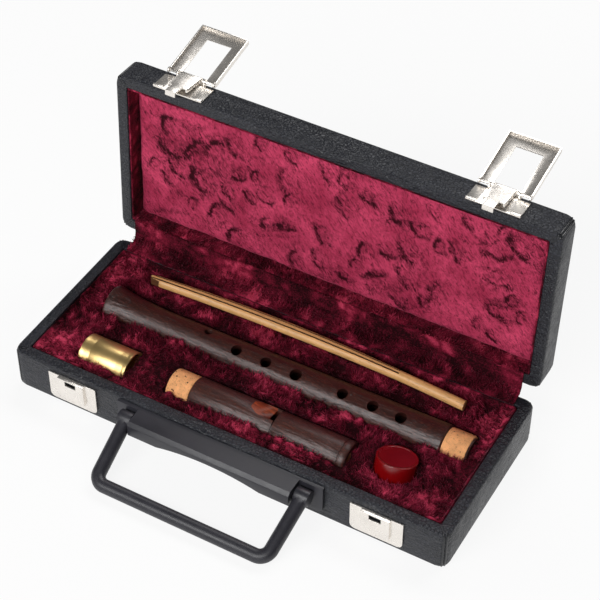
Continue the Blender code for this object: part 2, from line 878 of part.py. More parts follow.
def make_handle_plate(pivot):
    """The moulded plate on the front wall, with the thick grip that the bail turns on."""
    wall = front_face - gap
    housing = plate(round_bottomed(0.0, flange_length / 2, flange_top - flange_height, flange_top,
                                   flange_corner), wall - flange_thickness, wall)
    front = front_face - grip_out
    low = flange_top - grip_height
    r = grip_round
    outline = [(wall, flange_top), (front + r, flange_top), (front, flange_top - r),
               (front, low + r), (front + r, low), (wall, low)]
    half = grip_length / 2
    join(housing, slab(outline, -half, half))
    cut(housing, finger_relief(front, low))
    for hand in (-1, 1):
        ends = sorted((hand * (half - stub_length - gap), hand * (half + overrun)))
        cut(housing, rod_x(*ends, pivot.y, pivot.z, stub_radius + running_gap))
    cut(housing, *screw_holes(screw_seat - screw_length - gap, wall + overrun, screw_radius))
    finish(housing, "handle_plate", "handle_plastic")


def bail_path(pivot):
    """Centre line of the bail from one pivot round to the other, drawn level."""
    eye = Vector((-bail_half_at_pivot, 0.0))
    corner = Vector((-bail_half_at_bar, -bail_reach))
    arm = (corner - eye).normalized()
    turn = arm.angle(Vector((1.0, 0.0)))
    start = corner - arm * bail_corner * tan(turn / 2)
    centre = start + Vector((-arm.y, arm.x)) * bail_corner
    side = [eye.lerp(start, step / bail_arm_steps) for step in range(bail_arm_steps + 1)]
    for step in range(1, bail_corner_steps + 1):
        sweep = Matrix.Rotation(turn * step / bail_corner_steps, 2)
        side.append(centre + sweep @ (start - centre))
    points = side + [Vector((-point.x, point.y)) for point in reversed(side)]
    return [Vector((point.x, pivot.y + point.y, pivot.z)) for point in points]


def make_bail(pivot):
    """The moulded loop: a round bar with an eye and a stub at each end."""
    points = bail_path(pivot)
    curve = bpy.data.curves.new("bail_line", "CURVE")
    curve.dimensions = "3D"
    spline = curve.splines.new("POLY")
    spline.points.add(len(points) - 1)
    for target, point in zip(spline.points, points):
        target.co = (*point, 1.0)
    curve.bevel_depth = bail_radius
    curve.bevel_resolution = 3
    curve.use_fill_caps = True
    line = bpy.data.objects.new("bail_line", curve)
    bpy.context.collection.objects.link(line)
    graph = bpy.context.evaluated_depsgraph_get()
    bm = bmesh.new()
    bm.from_mesh(bpy.data.meshes.new_from_object(line.evaluated_get(graph)))
    bmesh.ops.remove_doubles(bm, verts=bm.verts, dist=MILLIMETRE)
    bpy.data.objects.remove(line)
    bail = object_from(bm)
    inside = bail_half_at_pivot - bail_radius
    outside = bail_half_at_pivot + bail_radius
    for hand in (-1, 1):
        ends = sorted((hand * inside, hand * outside))
        join(bail, rod_x(*ends, pivot.y, pivot.z, bail_eye_radius, hole_sides))
        ends = sorted((hand * (grip_length / 2 - stub_length), hand * (inside + overlap)))
        join(bail, rod_x(*ends, pivot.y, pivot.z, stub_radius))
    finish(bail, "handle_bail", "handle_plastic", "bail")


def make_handle():
    pivot = Vector((0.0, front_face - bail_pivot_out, flange_top - bail_pivot_below_top))
    droop = degrees(asin((pivot.z - bail_radius - bail_off_table) / bail_reach))
    make_group("bail", pivot, droop)
    make_handle_plate(pivot)
    make_bail(pivot)
    for side, x in (("left", -screw_from_middle), ("right", screw_from_middle)):
        steps = ((screw_seat - screw_length, screw_radius), (screw_seat, screw_radius),
                 (screw_seat, screw_head_radius), (screw_seat + screw_head_height, screw_head_radius))
        finish(turned_y(steps, x, screw_height), "handle_screw_" + side, "screw_steel")


def tenon_steps(shoulder, direction):
    """The narrow end that the cork sits on, as (x, radius) from the shoulder outwards."""
    end = shoulder + direction * tenon_length
    return [(shoulder, tenon_radius), (end - direction * tenon_chamfer, tenon_radius),
            (end, tenon_radius - tenon_chamfer)]


def make_cork(name, shoulder, direction, y, z, group):
    start = shoulder + direction * gap
    end = start + direction * cork_length
    inner = tenon_radius + gap
    ring = [(start, inner), (start, cork_radius), (end - direction * tenon_chamfer, cork_radius),
            (end, cork_radius - tenon_chamfer), (end, inner)]
    finish(turned_x(ring, y, z, closed=True), name, "cork", group)


def make_body():
    """The long joint with its flared foot, seven front holes and one thumb hole."""
    left = body_left - case_length / 2
    y = body_from_front - case_depth / 2
    z = body_height
    make_group("recorder_body", (0.0, y, z), body_roll)
    shoulder = left + body_length
    outer = placed(body_profile(), body_left) + tenon_steps(shoulder, 1)
    bore = [(outer[-1][0], body_bore), (left + bore_mouth_depth, body_bore), (left, body_bore + bore_mouth)]
    body = turned_x(outer + bore, y, z, closed=True)
    above = z + foot_radius + overrun
    for place, radius in zip(hole_places, hole_radii):
        cut(body, rod_z(left + place, y, z, above, radius))
    little = rod_z(left + little_hole_place, y, z, above, little_hole_radius)
    cut(body, turn_about(little, (0, y, z), little_hole_turn))
    cut(body, rod_z(left + thumb_hole_place, y, z - foot_radius - overrun, z, thumb_hole_radius))
    finish(body, "recorder_body", "dark_wood", "recorder_body")
    make_cork("body_cork", shoulder, 1, y, z, "recorder_body")


def ramp_cutter(labium, y, z):
    """The sloping cut from the labium's edge up to the head's surface, narrowing as it rises."""
    top = z + head_radius + overrun
    rise = (head_radius - ramp_floor) / ramp_length
    run_out = (top - z - ramp_floor) / rise
    loops = []
    for back, share in ((-gap, 1.0), (0.6 * ramp_length, 1.0), (0.9 * ramp_length, 0.62), (run_out, 0.2)):
        x = labium - back
        low = z + ramp_floor + back * rise
        wide = share * window_width / 2
        loops.append([(x, y - wide, low), (x, y + wide, low),
                      (x, y + wide, top + overrun), (x, y - wide, top + overrun)])
    return loft(loops)


def beak_cutter(right, y, z):
    """The round scoop that leaves the beak on the upper side of the mouth end."""
    x = right + beak_past_end
    level = z - beak_under - beak_radius
    wide = head_radius + overrun
    return loft([[(x + a, side, level + b) for a, b in circle(beak_radius, scoop_sides)]
                 for side in (y - wide, y + wide)])


def make_head():
    """The short joint with its window, labium ramp, block and beak."""
    left = head_left - case_length / 2
    y = head_from_front - case_depth / 2
    z = head_height
    make_group("recorder_head", (0.0, y, z), head_roll)
    labium = left + labium_place
    block_face = labium + cut_up
    right = left + head_length
    low = head_radius - ring_groove_depth
    groove = [(block_face, head_radius), (block_face, low),
              (block_face + ring_groove_width, low), (block_face + ring_groove_width, head_radius)]
    profile = placed(head_profile(), head_left)
    outer = list(reversed(tenon_steps(left, -1))) + profile[:2] + groove + profile[2:]
    bore = [(right, head_bore), (outer[0][0], head_bore)]
    head = turned_x(outer + bore, y, z, closed=True)
    half = window_width / 2
    cut(head, box(labium, block_face + ring_groove_width / 2, y - half, y + half,
                  z, z + head_radius + overrun))
    cut(head, ramp_cutter(labium, y, z))
    cut(head, beak_cutter(right, y, z))
    finish(head, "recorder_head", "dark_wood", "recorder_head")
    make_cork("head_cork", left, -1, y, z, "recorder_head")
    block = rod_x(block_face, right - gap, y, z, head_bore - gap, turned_sides)
    cut(block, box(block_face - overrun, right + overrun, y - head_bore, y + head_bore,
                   z + block_flat, z + head_radius))
    cut(block, beak_cutter(right, y, z))
    finish(block, "head_block", "cedar", "recorder_head")


def make_sleeve():
    """The thin turned tube that joins the two corked tenons."""
    y = sleeve_from_front - case_depth / 2
    z = sleeve_height
    make_group("joining_sleeve", (0.0, y, z))
    low = sleeve_radius - band_groove
    profile = [(0.0, sleeve_radius - sleeve_edge), (sleeve_edge, sleeve_radius)]
    for start in (band_from_end, sleeve_length - band_from_end - band_width):
        end = start + band_width
        profile += [(start, sleeve_radius), (start + band_slope, low), (end - band_slope, low),
                    (end, sleeve_radius)]
    profile += [(sleeve_length - sleeve_edge, sleeve_radius), (sleeve_length, sleeve_radius - sleeve_edge)]
    inner = sleeve_radius - sleeve_wall
    profile += [(sleeve_length, inner), (0.0, inner)]
    sleeve = turned_x(placed(profile, sleeve_left), y, z, closed=True)
    finish(sleeve, "joining_sleeve", "brass", "joining_sleeve")


def make_rod():
    """A slim round rod, slit from its left end so that the slats belly apart."""
    left = rod_left - case_length / 2
    y = rod_from_front - case_depth / 2
    z = rod_height
    make_group("cleaning_rod", (0.0, y, z))
    line = []
    for step in range(rod_stations + 1):
        t = step / rod_stations
        bow = rod_bow * (1 - (2 * t - 1) ** 2)
        slatted = min(t * rod_length / slit_length, 1.0)
        wide = rod_radius + (rod_belly - rod_radius) * sin(pi * slatted)
        line.append((left + rod_length * t, y + bow, wide))
    section = circle(1.0, small_sides)
    rod = loft([[(x, middle + a * wide, z + b * rod_radius) for a, b in section]
                for x, middle, wide in line])
    half = slit_width / 2
    deep = rod_radius + overrun
    slats = [station for station in line if station[0] <= left + slit_length]
    slats[0] = (left - overrun, *slats[0][1:])
    for share in (-slit_from_middle, slit_from_middle):
        loops = []
        for x, middle, wide in slats:
            at = middle + share * wide
            loops.append([(x, at - half, z - deep), (x, at + half, z - deep),
                          (x, at + half, z + deep), (x, at - half, z + deep)])
        cut(rod, loft(loops))
    finish(rod, "cleaning_rod", "light_wood", "cleaning_rod")


def make_pot():
    """The leaning grease pot and the cap that slips over it."""
    x = pot_from_left - case_length / 2
    y = pot_from_front - case_depth / 2
    base = Vector((x, y, pot_floor))
    make_group("grease_pot", base, -pot_tilt)
    make_group("grease_lid", base, 0.0, "grease_pot")
    inside = pot_radius - pot_wall
    rim = pot_floor + pot_height
    cup = turned_z(((pot_floor + pot_base_thickness, inside), (rim, inside), (rim, pot_radius),
                    (pot_floor + pot_foot_round, pot_radius),
                    (pot_floor, pot_radius - pot_foot_round)), x, y)
    finish(cup, "grease_pot", "red_plastic", "grease_pot")
    inside = pot_lid_radius - pot_lid_wall
    under = rim + gap
    top = under + pot_lid_top
    skirt = top - pot_lid_height
    cap = turned_z(((under, inside), (skirt, inside), (skirt, pot_lid_radius),
                    (top - pot_lid_round, pot_lid_radius),
                    (top - pot_lid_round / 3, pot_lid_radius - pot_lid_round / 3),
                    (top, pot_lid_radius - pot_lid_round)), x, y)
    finish(cap, "grease_lid", "red_plastic", "grease_lid")


def make_materials():
    for name, colour, roughness, metallic in (
            ("leatherette", (0.03, 0.03, 0.035), 0.55, 0.0),
            ("board", (0.42, 0.30, 0.18), 0.8, 0.0),
            ("foam", (0.25, 0.22, 0.20), 0.95, 0.0),
            ("plush", (0.30, 0.01, 0.05), 0.95, 0.0),
            ("velvet", (0.34, 0.02, 0.07), 0.9, 0.0),
            ("nickel", (0.72, 0.70, 0.66), 0.25, 1.0),
            ("screw_steel", (0.55, 0.55, 0.56), 0.35, 1.0),
            ("handle_plastic", (0.025, 0.025, 0.03), 0.45, 0.0),
            ("dark_wood", (0.07, 0.03, 0.02), 0.4, 0.0),
            ("cedar", (0.45, 0.20, 0.10), 0.6, 0.0),
            ("cork", (0.62, 0.40, 0.22), 0.85, 0.0),
            ("brass", (0.80, 0.58, 0.22), 0.22, 1.0),
            ("light_wood", (0.80, 0.58, 0.33), 0.55, 0.0),
            ("red_plastic", (0.45, 0.01, 0.01), 0.2, 0.0)):
        materials[name] = make_material(name, colour, roughness, metallic)


def main():
    clear_scene()
    make_materials()
    make_group("case", (0.0, 0.0, 0.0))
    make_group("lid", hinge_line, -lid_open_angle)
    make_case_halves()
    make_bed()
    make_lid_lining()
    make_hinge_web()
    make_hinges()
    make_latches()
    make_handle()
    make_body()
    make_head()
    make_sleeve()
    make_rod()
    make_pot()


main()
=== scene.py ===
import json
from math import asin, cos, pi, radians, sin, sqrt, tan
from random import Random

import bmesh
import bpy
from mathutils import Matrix, Vector, noise
from mathutils.bvhtree import BVHTree

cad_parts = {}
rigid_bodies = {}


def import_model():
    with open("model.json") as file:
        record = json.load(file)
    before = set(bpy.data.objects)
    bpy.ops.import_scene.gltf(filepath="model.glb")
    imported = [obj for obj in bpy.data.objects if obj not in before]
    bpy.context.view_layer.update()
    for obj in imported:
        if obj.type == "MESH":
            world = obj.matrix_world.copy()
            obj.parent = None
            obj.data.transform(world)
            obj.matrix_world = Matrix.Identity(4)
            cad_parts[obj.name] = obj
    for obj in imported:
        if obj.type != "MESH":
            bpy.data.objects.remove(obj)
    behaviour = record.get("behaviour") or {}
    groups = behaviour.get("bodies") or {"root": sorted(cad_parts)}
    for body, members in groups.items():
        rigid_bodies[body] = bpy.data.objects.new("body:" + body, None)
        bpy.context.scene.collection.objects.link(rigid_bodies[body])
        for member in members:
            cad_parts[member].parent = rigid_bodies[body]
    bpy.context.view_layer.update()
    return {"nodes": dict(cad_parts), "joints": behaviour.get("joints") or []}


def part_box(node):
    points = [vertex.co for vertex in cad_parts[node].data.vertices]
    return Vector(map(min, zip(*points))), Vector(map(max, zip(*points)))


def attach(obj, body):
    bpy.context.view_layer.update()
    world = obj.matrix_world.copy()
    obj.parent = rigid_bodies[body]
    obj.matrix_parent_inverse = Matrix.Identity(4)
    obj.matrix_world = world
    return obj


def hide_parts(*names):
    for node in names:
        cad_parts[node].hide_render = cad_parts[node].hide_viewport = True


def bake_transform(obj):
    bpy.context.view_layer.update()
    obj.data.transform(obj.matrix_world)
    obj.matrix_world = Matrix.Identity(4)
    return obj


bl_info = {
    "name": "Cased Soprano Recorder",
    "version": (1, 0, 0),
    "blender": (4, 5, 0),
    "location": "View3D > Sidebar > Recorder",
    "description": "Models and finishes a soprano recorder lying in its open, plush-lined hard case",
    "category": "Add Mesh",
}

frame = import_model()
nodes = frame["nodes"]
joints = {joint["name"]: joint for joint in frame["joints"]}

MM = 0.001
ROUND = 96
SMALL_ROUND = 32
SIDES = ("left", "right")

# Case
base_low, base_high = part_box("base_cover")
corner_radius = 6.0 * MM
rim_inside = 6.2 * MM
seam_radius = 0.65 * MM
seam_apart = 1.6 * MM
seam_sink = 0.2 * MM
lid_pivot = Vector(joints["lid_hinge"]["pos_m"])
lid_open = -radians(joints["lid_hinge"]["range_deg"][0])
lid_rim = base_high.z + 0.4 * MM
lid_height = 17.6 * MM

# Recorder, measured along X from each joint's left end
body_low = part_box("recorder_body")[0]
body_length = 214.0 * MM
foot_radius = 12.8 * MM
waist_radius = 9.6 * MM
shoulder_radius = 11.0 * MM
flare_length = 40.0 * MM
flare_curve = 2.4
end_ease = 0.7 * MM
ease_start = 0.2 * MM
ease_drop = 0.18 * MM
ease_full_drop = 0.6 * MM
tenon_ease = 0.4 * MM
body_bore = 6.5 * MM
bore_mouth = 0.8 * MM
bore_mouth_depth = 3.0 * MM
body_roll = radians(18.0)
head_roll = radians(-12.0)
front_holes = ((84.8, 3.2), (103.8, 3.2), (122.9, 3.5), (152.1, 3.1), (170.7, 3.2), (187.9, 3.3))
little_hole = (64.0, 2.6)
little_hole_turn = radians(-28.0)
thumb_hole = (200.0, 2.8)
tenon_length = 15.0 * MM
tenon_radius = 9.0 * MM
cork_radius = 10.3 * MM
head_length = 96.8 * MM
head_radius = 10.6 * MM
head_bore = 7.0 * MM
mouth_chamfer = 0.8 * MM
labium_place = 47.7 * MM
cut_up = 3.4 * MM
window_width = 11.0 * MM
ramp_length = 13.5 * MM
ramp_floor = 7.5 * MM
groove_width = 0.9 * MM
groove_depth = 0.8 * MM
mouth_ring_place = 4.6 * MM
mouth_ring_depth = 0.45 * MM
beak_radius = 42.0 * MM
beak_under = 3.0 * MM
beak_past_end = 2.0 * MM
block_flat = 5.2 * MM

# Sleeve, rod and pot
sleeve_wall = 0.7 * MM
band_from_end = 2.2 * MM
band_width = 4.5 * MM
band_lines = 9
band_line_depth = 0.05 * MM
rod_bow = 4.0 * MM
rod_radius = 3.0 * MM
rod_belly = 4.0 * MM
slit_length = 160.0 * MM
slit_width = 0.8 * MM
slit_place = 0.34
pot_foot = Vector((88.5, -23.8, 14.9)) * MM
pot_lean = radians(18.0)
pot_radius = 10.4 * MM
pot_height = 12.0 * MM
pot_wall = 2.1 * MM
cap_radius = 11.5 * MM
cap_height = 10.8 * MM
cap_top = 1.6 * MM
cap_wall = 0.8 * MM
cap_rim = 1.1 * MM
cap_dish = 0.35 * MM

# Handle
bail_pivot = Vector(joints["handle_swing"]["pos_m"])
bail_radius = 4.0 * MM
bail_eye = 4.5 * MM
bail_at_pivot = 55.0 * MM
bail_at_bar = 53.0 * MM
bail_reach = 38.6 * MM
bail_corner = 6.5 * MM
bail_off_table = 0.1 * MM
stub_radius = 2.0 * MM
stub_inside = 45.8 * MM

# Soft goods
noise_seed = 7
clear_of_wood = 0.25 * MM
hug_reach = 2.4 * MM
bed_grid = 0.8 * MM
tufts_from = 9.0 * MM
tufts_full_over = 4.0 * MM
dark_below = 12.0 * MM
bright_over = 11.0 * MM
fibres_from = 18.0 * MM
panel_grid = 1.5 * MM
glued_depth = 1.2 * MM
pressure = 4.0
rim_shadow = 4.4 * MM
mark_margin = 8.0 * MM
swell_cap = 0.8 * MM
swirl_size = 24.0 * MM
mark_count = 56
swell_frames = 20


# Modelling by hand: small steps that every piece uses

def settle():
    """Leave edit mode and deselect everything."""
    if bpy.context.object and bpy.context.object.mode != "OBJECT":
        bpy.ops.object.mode_set(mode="OBJECT")
    bpy.ops.object.select_all(action="DESELECT")


def take(piece):
    settle()
    piece.select_set(True)
    bpy.context.view_layer.objects.active = piece
    return piece


def start(kind, name, **settings):
    """Add a primitive at its size and place."""
    settle()
    getattr(bpy.ops.mesh, "primitive_%s_add" % kind)(**settings)
    piece = bpy.context.object
    piece.name = piece.data.name = name
    bpy.ops.object.transform_apply(location=True, rotation=True, scale=True)
    return piece


def edit(piece, everything=True):
    take(piece)
    bpy.ops.object.mode_set(mode="EDIT")
    bpy.ops.mesh.select_mode(type="VERT")
    bpy.ops.mesh.select_all(action="SELECT" if everything else "DESELECT")
    return bmesh.from_edit_mesh(piece.data)


def apply(piece, kind, **settings):
    """Add one modifier and apply it."""
    take(piece)
    modifier = piece.modifiers.new(kind.title(), kind)
    for key, value in settings.items():
        setattr(modifier, key, value)
    bpy.ops.object.modifier_apply(modifier=modifier.name)
    return piece


def cut(piece, *cutters, operation="DIFFERENCE"):
    for cutter in cutters:
        apply(piece, "BOOLEAN", operation=operation, solver="EXACT", object=cutter)
        bpy.data.objects.remove(cutter)
    return piece


def weld(piece, *others):
    return cut(piece, *others, operation="UNION")


def joined(name, pieces):
    take(pieces[0])
    for piece in pieces:
        piece.select_set(True)
    bpy.ops.object.join()
    whole = bpy.context.object
    whole.name = whole.data.name = name
    return whole


def eased_edges(piece, width, segments=2, angle=35.0):
    return apply(piece, "BEVEL", width=width, segments=segments, limit_method="ANGLE",
                 angle_limit=radians(angle))


def smooth(piece, angle=40.0):
    take(piece)
    bpy.ops.object.shade_smooth_by_angle(angle=radians(angle))
    return piece


def outwards(piece):
    edit(piece)
    bpy.ops.mesh.remove_doubles(threshold=0.5e-6)
    bpy.ops.mesh.normals_make_consistent(inside=False)
    settle()
    return piece


def block(name, low, high):
    low = Vector(low)
    high = Vector(high)
    return start("cube", name, size=1.0, location=(low + high) / 2, scale=high - low)


def peg(name, a, b, radius, sides=SMALL_ROUND):
    """A round bar from one point to another."""
    a = Vector(a)
    b = Vector(b)
    turn = (b - a).to_track_quat("Z", "Y").to_euler()
    return start("cylinder", name, vertices=sides, radius=radius, depth=(b - a).length,
                 location=(a + b) / 2, rotation=turn)


def rounded(outline, radius, steps=3):
    """The same outline with its corners rounded."""
    points = [Vector(point) for point in outline]
    result = [points[0]]
    for before, corner, after in zip(points, points[1:], points[2:]):
        back = before - corner
        on = after - corner
        first = corner + back.normalized() * min(radius, back.length * 0.45)
        last = corner + on.normalized() * min(radius, on.length * 0.45)
        for step in range(steps + 1):
            t = step / steps
            result.append(first.lerp(corner, t).lerp(corner.lerp(last, t), t))
    result.append(points[-1])
    return result


def drawn_line(name, points):
    """A chain of edges drawn out from one point, left open for editing."""
    piece = start("plane", name, size=MM, location=points[0])
    edit(piece)
    bpy.ops.mesh.merge(type="CENTER")
    for here, there in zip(points, points[1:]):
        bpy.ops.mesh.extrude_vertices_move(TRANSFORM_OT_translate={"value": there - here})
    return piece


def turned(name, outline, line, steps=ROUND, closed=False):
    """Turn a piece about a line along X: its outline of (x, radius) is drawn, then spun."""
    y, z = line
    piece = drawn_line(name, [Vector((x, y, z + radius)) for x, radius in outline])
    if closed:
        mesh = bmesh.from_edit_mesh(piece.data)
        for vert in mesh.verts:
            vert.select = len(vert.link_edges) == 1
        bpy.ops.mesh.edge_face_add()
    bpy.ops.mesh.select_all(action="SELECT")
    bpy.ops.mesh.spin(steps=steps, angle=2 * pi, center=(0, y, z), axis=(1, 0, 0))
    return outwards(piece)


def cut_across(piece, axis, places):
    """Add an edge loop at each place along one axis, without parting the piece."""
    edit(piece)
    normal = Vector()
    normal[axis] = 1.0
    for place in places:
        bpy.ops.mesh.select_all(action="SELECT")
        bpy.ops.mesh.bisect(plane_co=normal * place, plane_no=normal)
    settle()
    return piece


def line_of(node):
    """The line along X through the middle of a node's box."""
    low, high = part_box(node)
    return (low.y + high.y) / 2, (low.z + high.z) / 2


def rolled(piece, line, angle):
    """Turn a piece's mesh about a line along X."""
    centre = Matrix.Translation((0, *line))
    piece.data.transform(centre @ Matrix.Rotation(angle, 4, "X") @ centre.inverted())
    return piece


def copy_of(node, name):
    """A merged, clean copy of a CAD node to work on."""
    take(nodes[node])
    bpy.ops.object.duplicate()
    piece = bpy.context.object
    bpy.ops.object.parent_clear(type="CLEAR_KEEP_TRANSFORM")
    for key in [key for key in piece.keys() if key.startswith("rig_")]:
        del piece[key]
    piece.name = piece.data.name = name
    bpy.ops.mesh.customdata_custom_splitnormals_clear()
    edit(piece)
    bpy.ops.mesh.remove_doubles(threshold=1e-6)
    bpy.ops.mesh.mark_sharp(clear=True)
    bpy.ops.mesh.dissolve_limited(angle_limit=radians(0.5))
    settle()
    return piece


def repeat(piece, name, offset):
    """Another of the same piece, moved, with its own mesh."""
    take(piece)
    bpy.ops.object.duplicate()
    another = bpy.context.object
    another.name = another.data.name = name
    another.data.transform(Matrix.Translation(offset))
    return another


def offset_between(node, other):
    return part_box(other)[0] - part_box(node)[0]


def dressed(piece, slot, *replaced, finish=None):
    """Give a finished piece its material, the finish named by its slot unless another is given, and hide the
    CAD nodes that it stands for.
    """
    material = finishes[finish or slot]
    if material not in list(piece.data.materials):
        piece.data.materials.clear()
        piece.data.materials.append(material)
    if replaced:
        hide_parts(*replaced)
    return piece


def seat(piece, body, slot, *replaced, finish=None):
    """Dress a piece and let it ride on its body."""
    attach(dressed(piece, slot, *replaced, finish=finish), body)
    return piece


def painted(piece, *names):
    """Give a piece several materials, for its faces to choose from."""
    for name in names:
        piece.data.materials.append(finishes[name])


def copies_of(model, first, places, slot):
    """Finished copies of one model at its CAD nodes, given as (node, name, body); the model goes."""
    for node, name, body in places:
        seat(repeat(model, name, offset_between(first, node)), body, slot, node)
    bpy.data.objects.remove(model)


def clamped(value, low=0.0, high=1.0):
    return min(high, max(low, value))


def tube_along(name, points, radius, sides=3):
    """A round bead along a path, made as a curve and turned into a mesh."""
    take(drawn_line(name, points))
    bpy.ops.object.convert(target="CURVE")
    curve = bpy.context.object
    curve.data.bevel_depth = radius
    curve.data.bevel_resolution = sides
    curve.data.use_fill_caps = True
    bpy.ops.object.convert(target="MESH")
    return outwards(bpy.context.object)


# Shading: short calls that build a node tree

class Nodes:
    """Adds nodes to a material or a group and wires them as they are made."""

    def __init__(self, tree):
        self.tree = tree

    def put(self, socket, value):
        if isinstance(value, bpy.types.NodeSocket):
            self.tree.links.new(value, socket)
        elif socket.type == "RGBA" and len(value) == 3:
            socket.default_value = (*value, 1.0)
        else:
            socket.default_value = value

    def add(self, kind, settings=(), **inputs):
        node = self.tree.nodes.new("ShaderNode" + kind)
        for key, value in dict(settings).items():
            setattr(node, key, value)
        for key, value in inputs.items():
            self.put(node.inputs[key.replace("_", " ")], value)
        return node

    def place(self):
        return self.add("TexCoord").outputs["Object"]

    def stretched(self, vector, scale):
        return self.add("Mapping", Vector=vector, Scale=scale).outputs["Vector"]

    def noise(self, vector, scale, detail=2.0, roughness=0.5, distortion=0.0):
        return self.add("TexNoise", Vector=vector, Scale=scale, Detail=detail, Roughness=roughness,
                        Distortion=distortion).outputs[0]

    def cells(self, vector, scale, feature="F1"):
        return self.add("TexVoronoi", {"feature": feature}, Vector=vector,
                        Scale=scale).outputs["Distance"]

    def spread(self, value, low, high, to_low=0.0, to_high=1.0):
        node = self.add("MapRange", {"clamp": True})
        for index, part in enumerate((value, low, high, to_low, to_high)):
            self.put(node.inputs[index], part)
        return node.outputs[0]

    def maths(self, operation, first, second):
        node = self.add("Math", {"operation": operation})
        self.put(node.inputs[0], first)
        self.put(node.inputs[1], second)
        return node.outputs[0]

    def plus(self, first, second):
        return self.maths("ADD", first, second)

    def minus(self, first, second):
        return self.maths("SUBTRACT", first, second)

    def times(self, first, second):
        return self.maths("MULTIPLY", first, second)

    def larger(self, first, second):
        return self.maths("MAXIMUM", first, second)

    def blend(self, share, first, second):
        node = self.add("Mix", {"data_type": "RGBA"})
        for index, value in ((0, share), (6, first), (7, second)):
            self.put(node.inputs[index], value)
        return node.outputs[2]

    def bumped(self, height, strength, distance, normal=None):
        node = self.add("Bump", Height=height, Strength=strength, Distance=distance)
        if normal:
            self.put(node.inputs["Normal"], normal)
        return node.outputs["Normal"]

    def attribute(self, name):
        return self.add("Attribute", {"attribute_name": name}).outputs["Fac"]

    def effect(self, name, vector, scale, **inputs):
        """The outputs of one of the shared effects."""
        return self.add("Group", {"node_tree": effects[name]}, Vector=vector, Scale=scale, **inputs).outputs

    def paint(self, name, value):
        """Set an input of the material's own shader."""
        self.put(self.tree.nodes["Principled BSDF"].inputs[name], value)


def effect_group(name, inputs, outputs, build):
    """A shared effect: its inputs are (name, socket, default), its outputs are values."""
    tree = bpy.data.node_groups.new(name, "ShaderNodeTree")
    for label, kind, default in inputs:
        socket = tree.interface.new_socket(name=label, in_out="INPUT", socket_type=kind)
        if default is not None:
            socket.default_value = default
    for label in outputs:
        tree.interface.new_socket(name=label, in_out="OUTPUT", socket_type="NodeSocketFloat")
    inside = tree.nodes.new("NodeGroupInput")
    outside = tree.nodes.new("NodeGroupOutput")
    for label, value in build(Nodes(tree), inside.outputs).items():
        tree.links.new(value, outside.inputs[label])
    return tree


def cloudy(make, given):
    """Slow unevenness with a little fine grain in it."""
    slow = make.noise(given["Vector"], given["Scale"], 3.0, 0.55, 0.4)
    fine = make.noise(given["Vector"], make.times(given["Scale"], 9.0), 2.0, 0.6)
    both = make.plus(make.times(slow, 0.75), make.times(fine, 0.25))
    return {"Value": make.spread(both, 0.35, 0.65)}


def pebbled(make, given):
    """The rounded pebbles of leather grain, with the creases between them."""
    bent = make.noise(given["Vector"], make.times(given["Scale"], 0.6), 2.0)
    cells = make.cells(given["Vector"], given["Scale"])
    creases = make.spread(make.cells(given["Vector"], given["Scale"], "DISTANCE_TO_EDGE"), 0.0, 0.22)
    height = make.plus(make.times(creases, 0.8), make.times(bent, 0.4))
    return {"Height": make.minus(height, make.times(cells, 0.25)),
            "Creases": creases}


def wood_figure(make, given):
    """Long streaks and short open pores along X."""
    along = make.add("VectorMath", {"operation": "MULTIPLY"})
    make.put(along.inputs[0], given["Vector"])
    make.put(along.inputs[1], (0.12, 1.0, 1.0))
    drawn = along.outputs[0]
    streaks = make.noise(drawn, given["Scale"], 4.0, 0.6, 0.3)
    pores = make.noise(drawn, make.times(given["Scale"], 3.4), 1.0, 0.4)
    return {"Streaks": make.spread(streaks, 0.3, 0.7), "Pores": make.spread(pores, 0.62, 0.7)}


def specks(make, given):
    """Scattered small round marks."""
    cells = make.cells(given["Vector"], given["Scale"])
    choice = make.noise(given["Vector"], make.times(given["Scale"], 0.8), 1.0)
    near = make.spread(cells, given["Size"], make.times(given["Size"], 0.6))
    return {"Value": make.times(near, make.spread(choice, 0.46, 0.56))}


def make_effects():
    vector = ("Vector", "NodeSocketVector", None)
    scale = ("Scale", "NodeSocketFloat", 100.0)
    size = ("Size", "NodeSocketFloat", 0.3)
    return {
        "cloudy": effect_group("Cloudy Unevenness", (vector, scale), ("Value",), cloudy),
        "pebbled": effect_group("Pebbled Grain", (vector, scale), ("Height", "Creases"), pebbled),
        "figure": effect_group("Wood Figure", (vector, scale), ("Streaks", "Pores"), wood_figure),
        "specks": effect_group("Scattered Specks", (vector, scale, size), ("Value",), specks),
    }


effects = {}
finishes = {}
sheen_tint = (1.0, 0.3, 0.42)


def new_finish(name, **constants):
    """A Principled material with its constants set: its node builder and its Object coordinates."""
    material = bpy.data.materials.new(name)
    material.use_nodes = True
    make = Nodes(material.node_tree)
    for key, value in constants.items():
        make.paint(key.replace("_", " "), value)
    finishes[name] = material
    return make, make.place()


def tinted(colour, share):
    return tuple(channel * share for channel in colour)


def leatherette_finish(looks):
    make, place = new_finish("leatherette", Specular_IOR_Level=0.42)
    grain = make.effect("pebbled", place, looks.grain_scale)
    cloud = make.effect("cloudy", place, 34.0)["Value"]
    colour = looks.colour
    body = make.blend(cloud, tinted(colour, 0.78), tinted(colour, 1.3))
    # Painted shade: the creases between the pebbles are painted at half the covering's colour.
    make.paint("Base Color", make.blend(grain["Creases"], tinted(colour, 0.5), body))
    make.paint("Roughness", make.spread(cloud, 0.0, 1.0, 0.34, 0.52))
    pulls = make.noise(make.stretched(place, (0.4, 1.0, 1.5)), 130.0, 4.0, 0.6, 1.4)
    pulled = make.bumped(pulls, 0.85, 2.2 * MM)
    make.paint("Normal", make.bumped(grain["Height"], 0.5, looks.grain_depth, pulled))


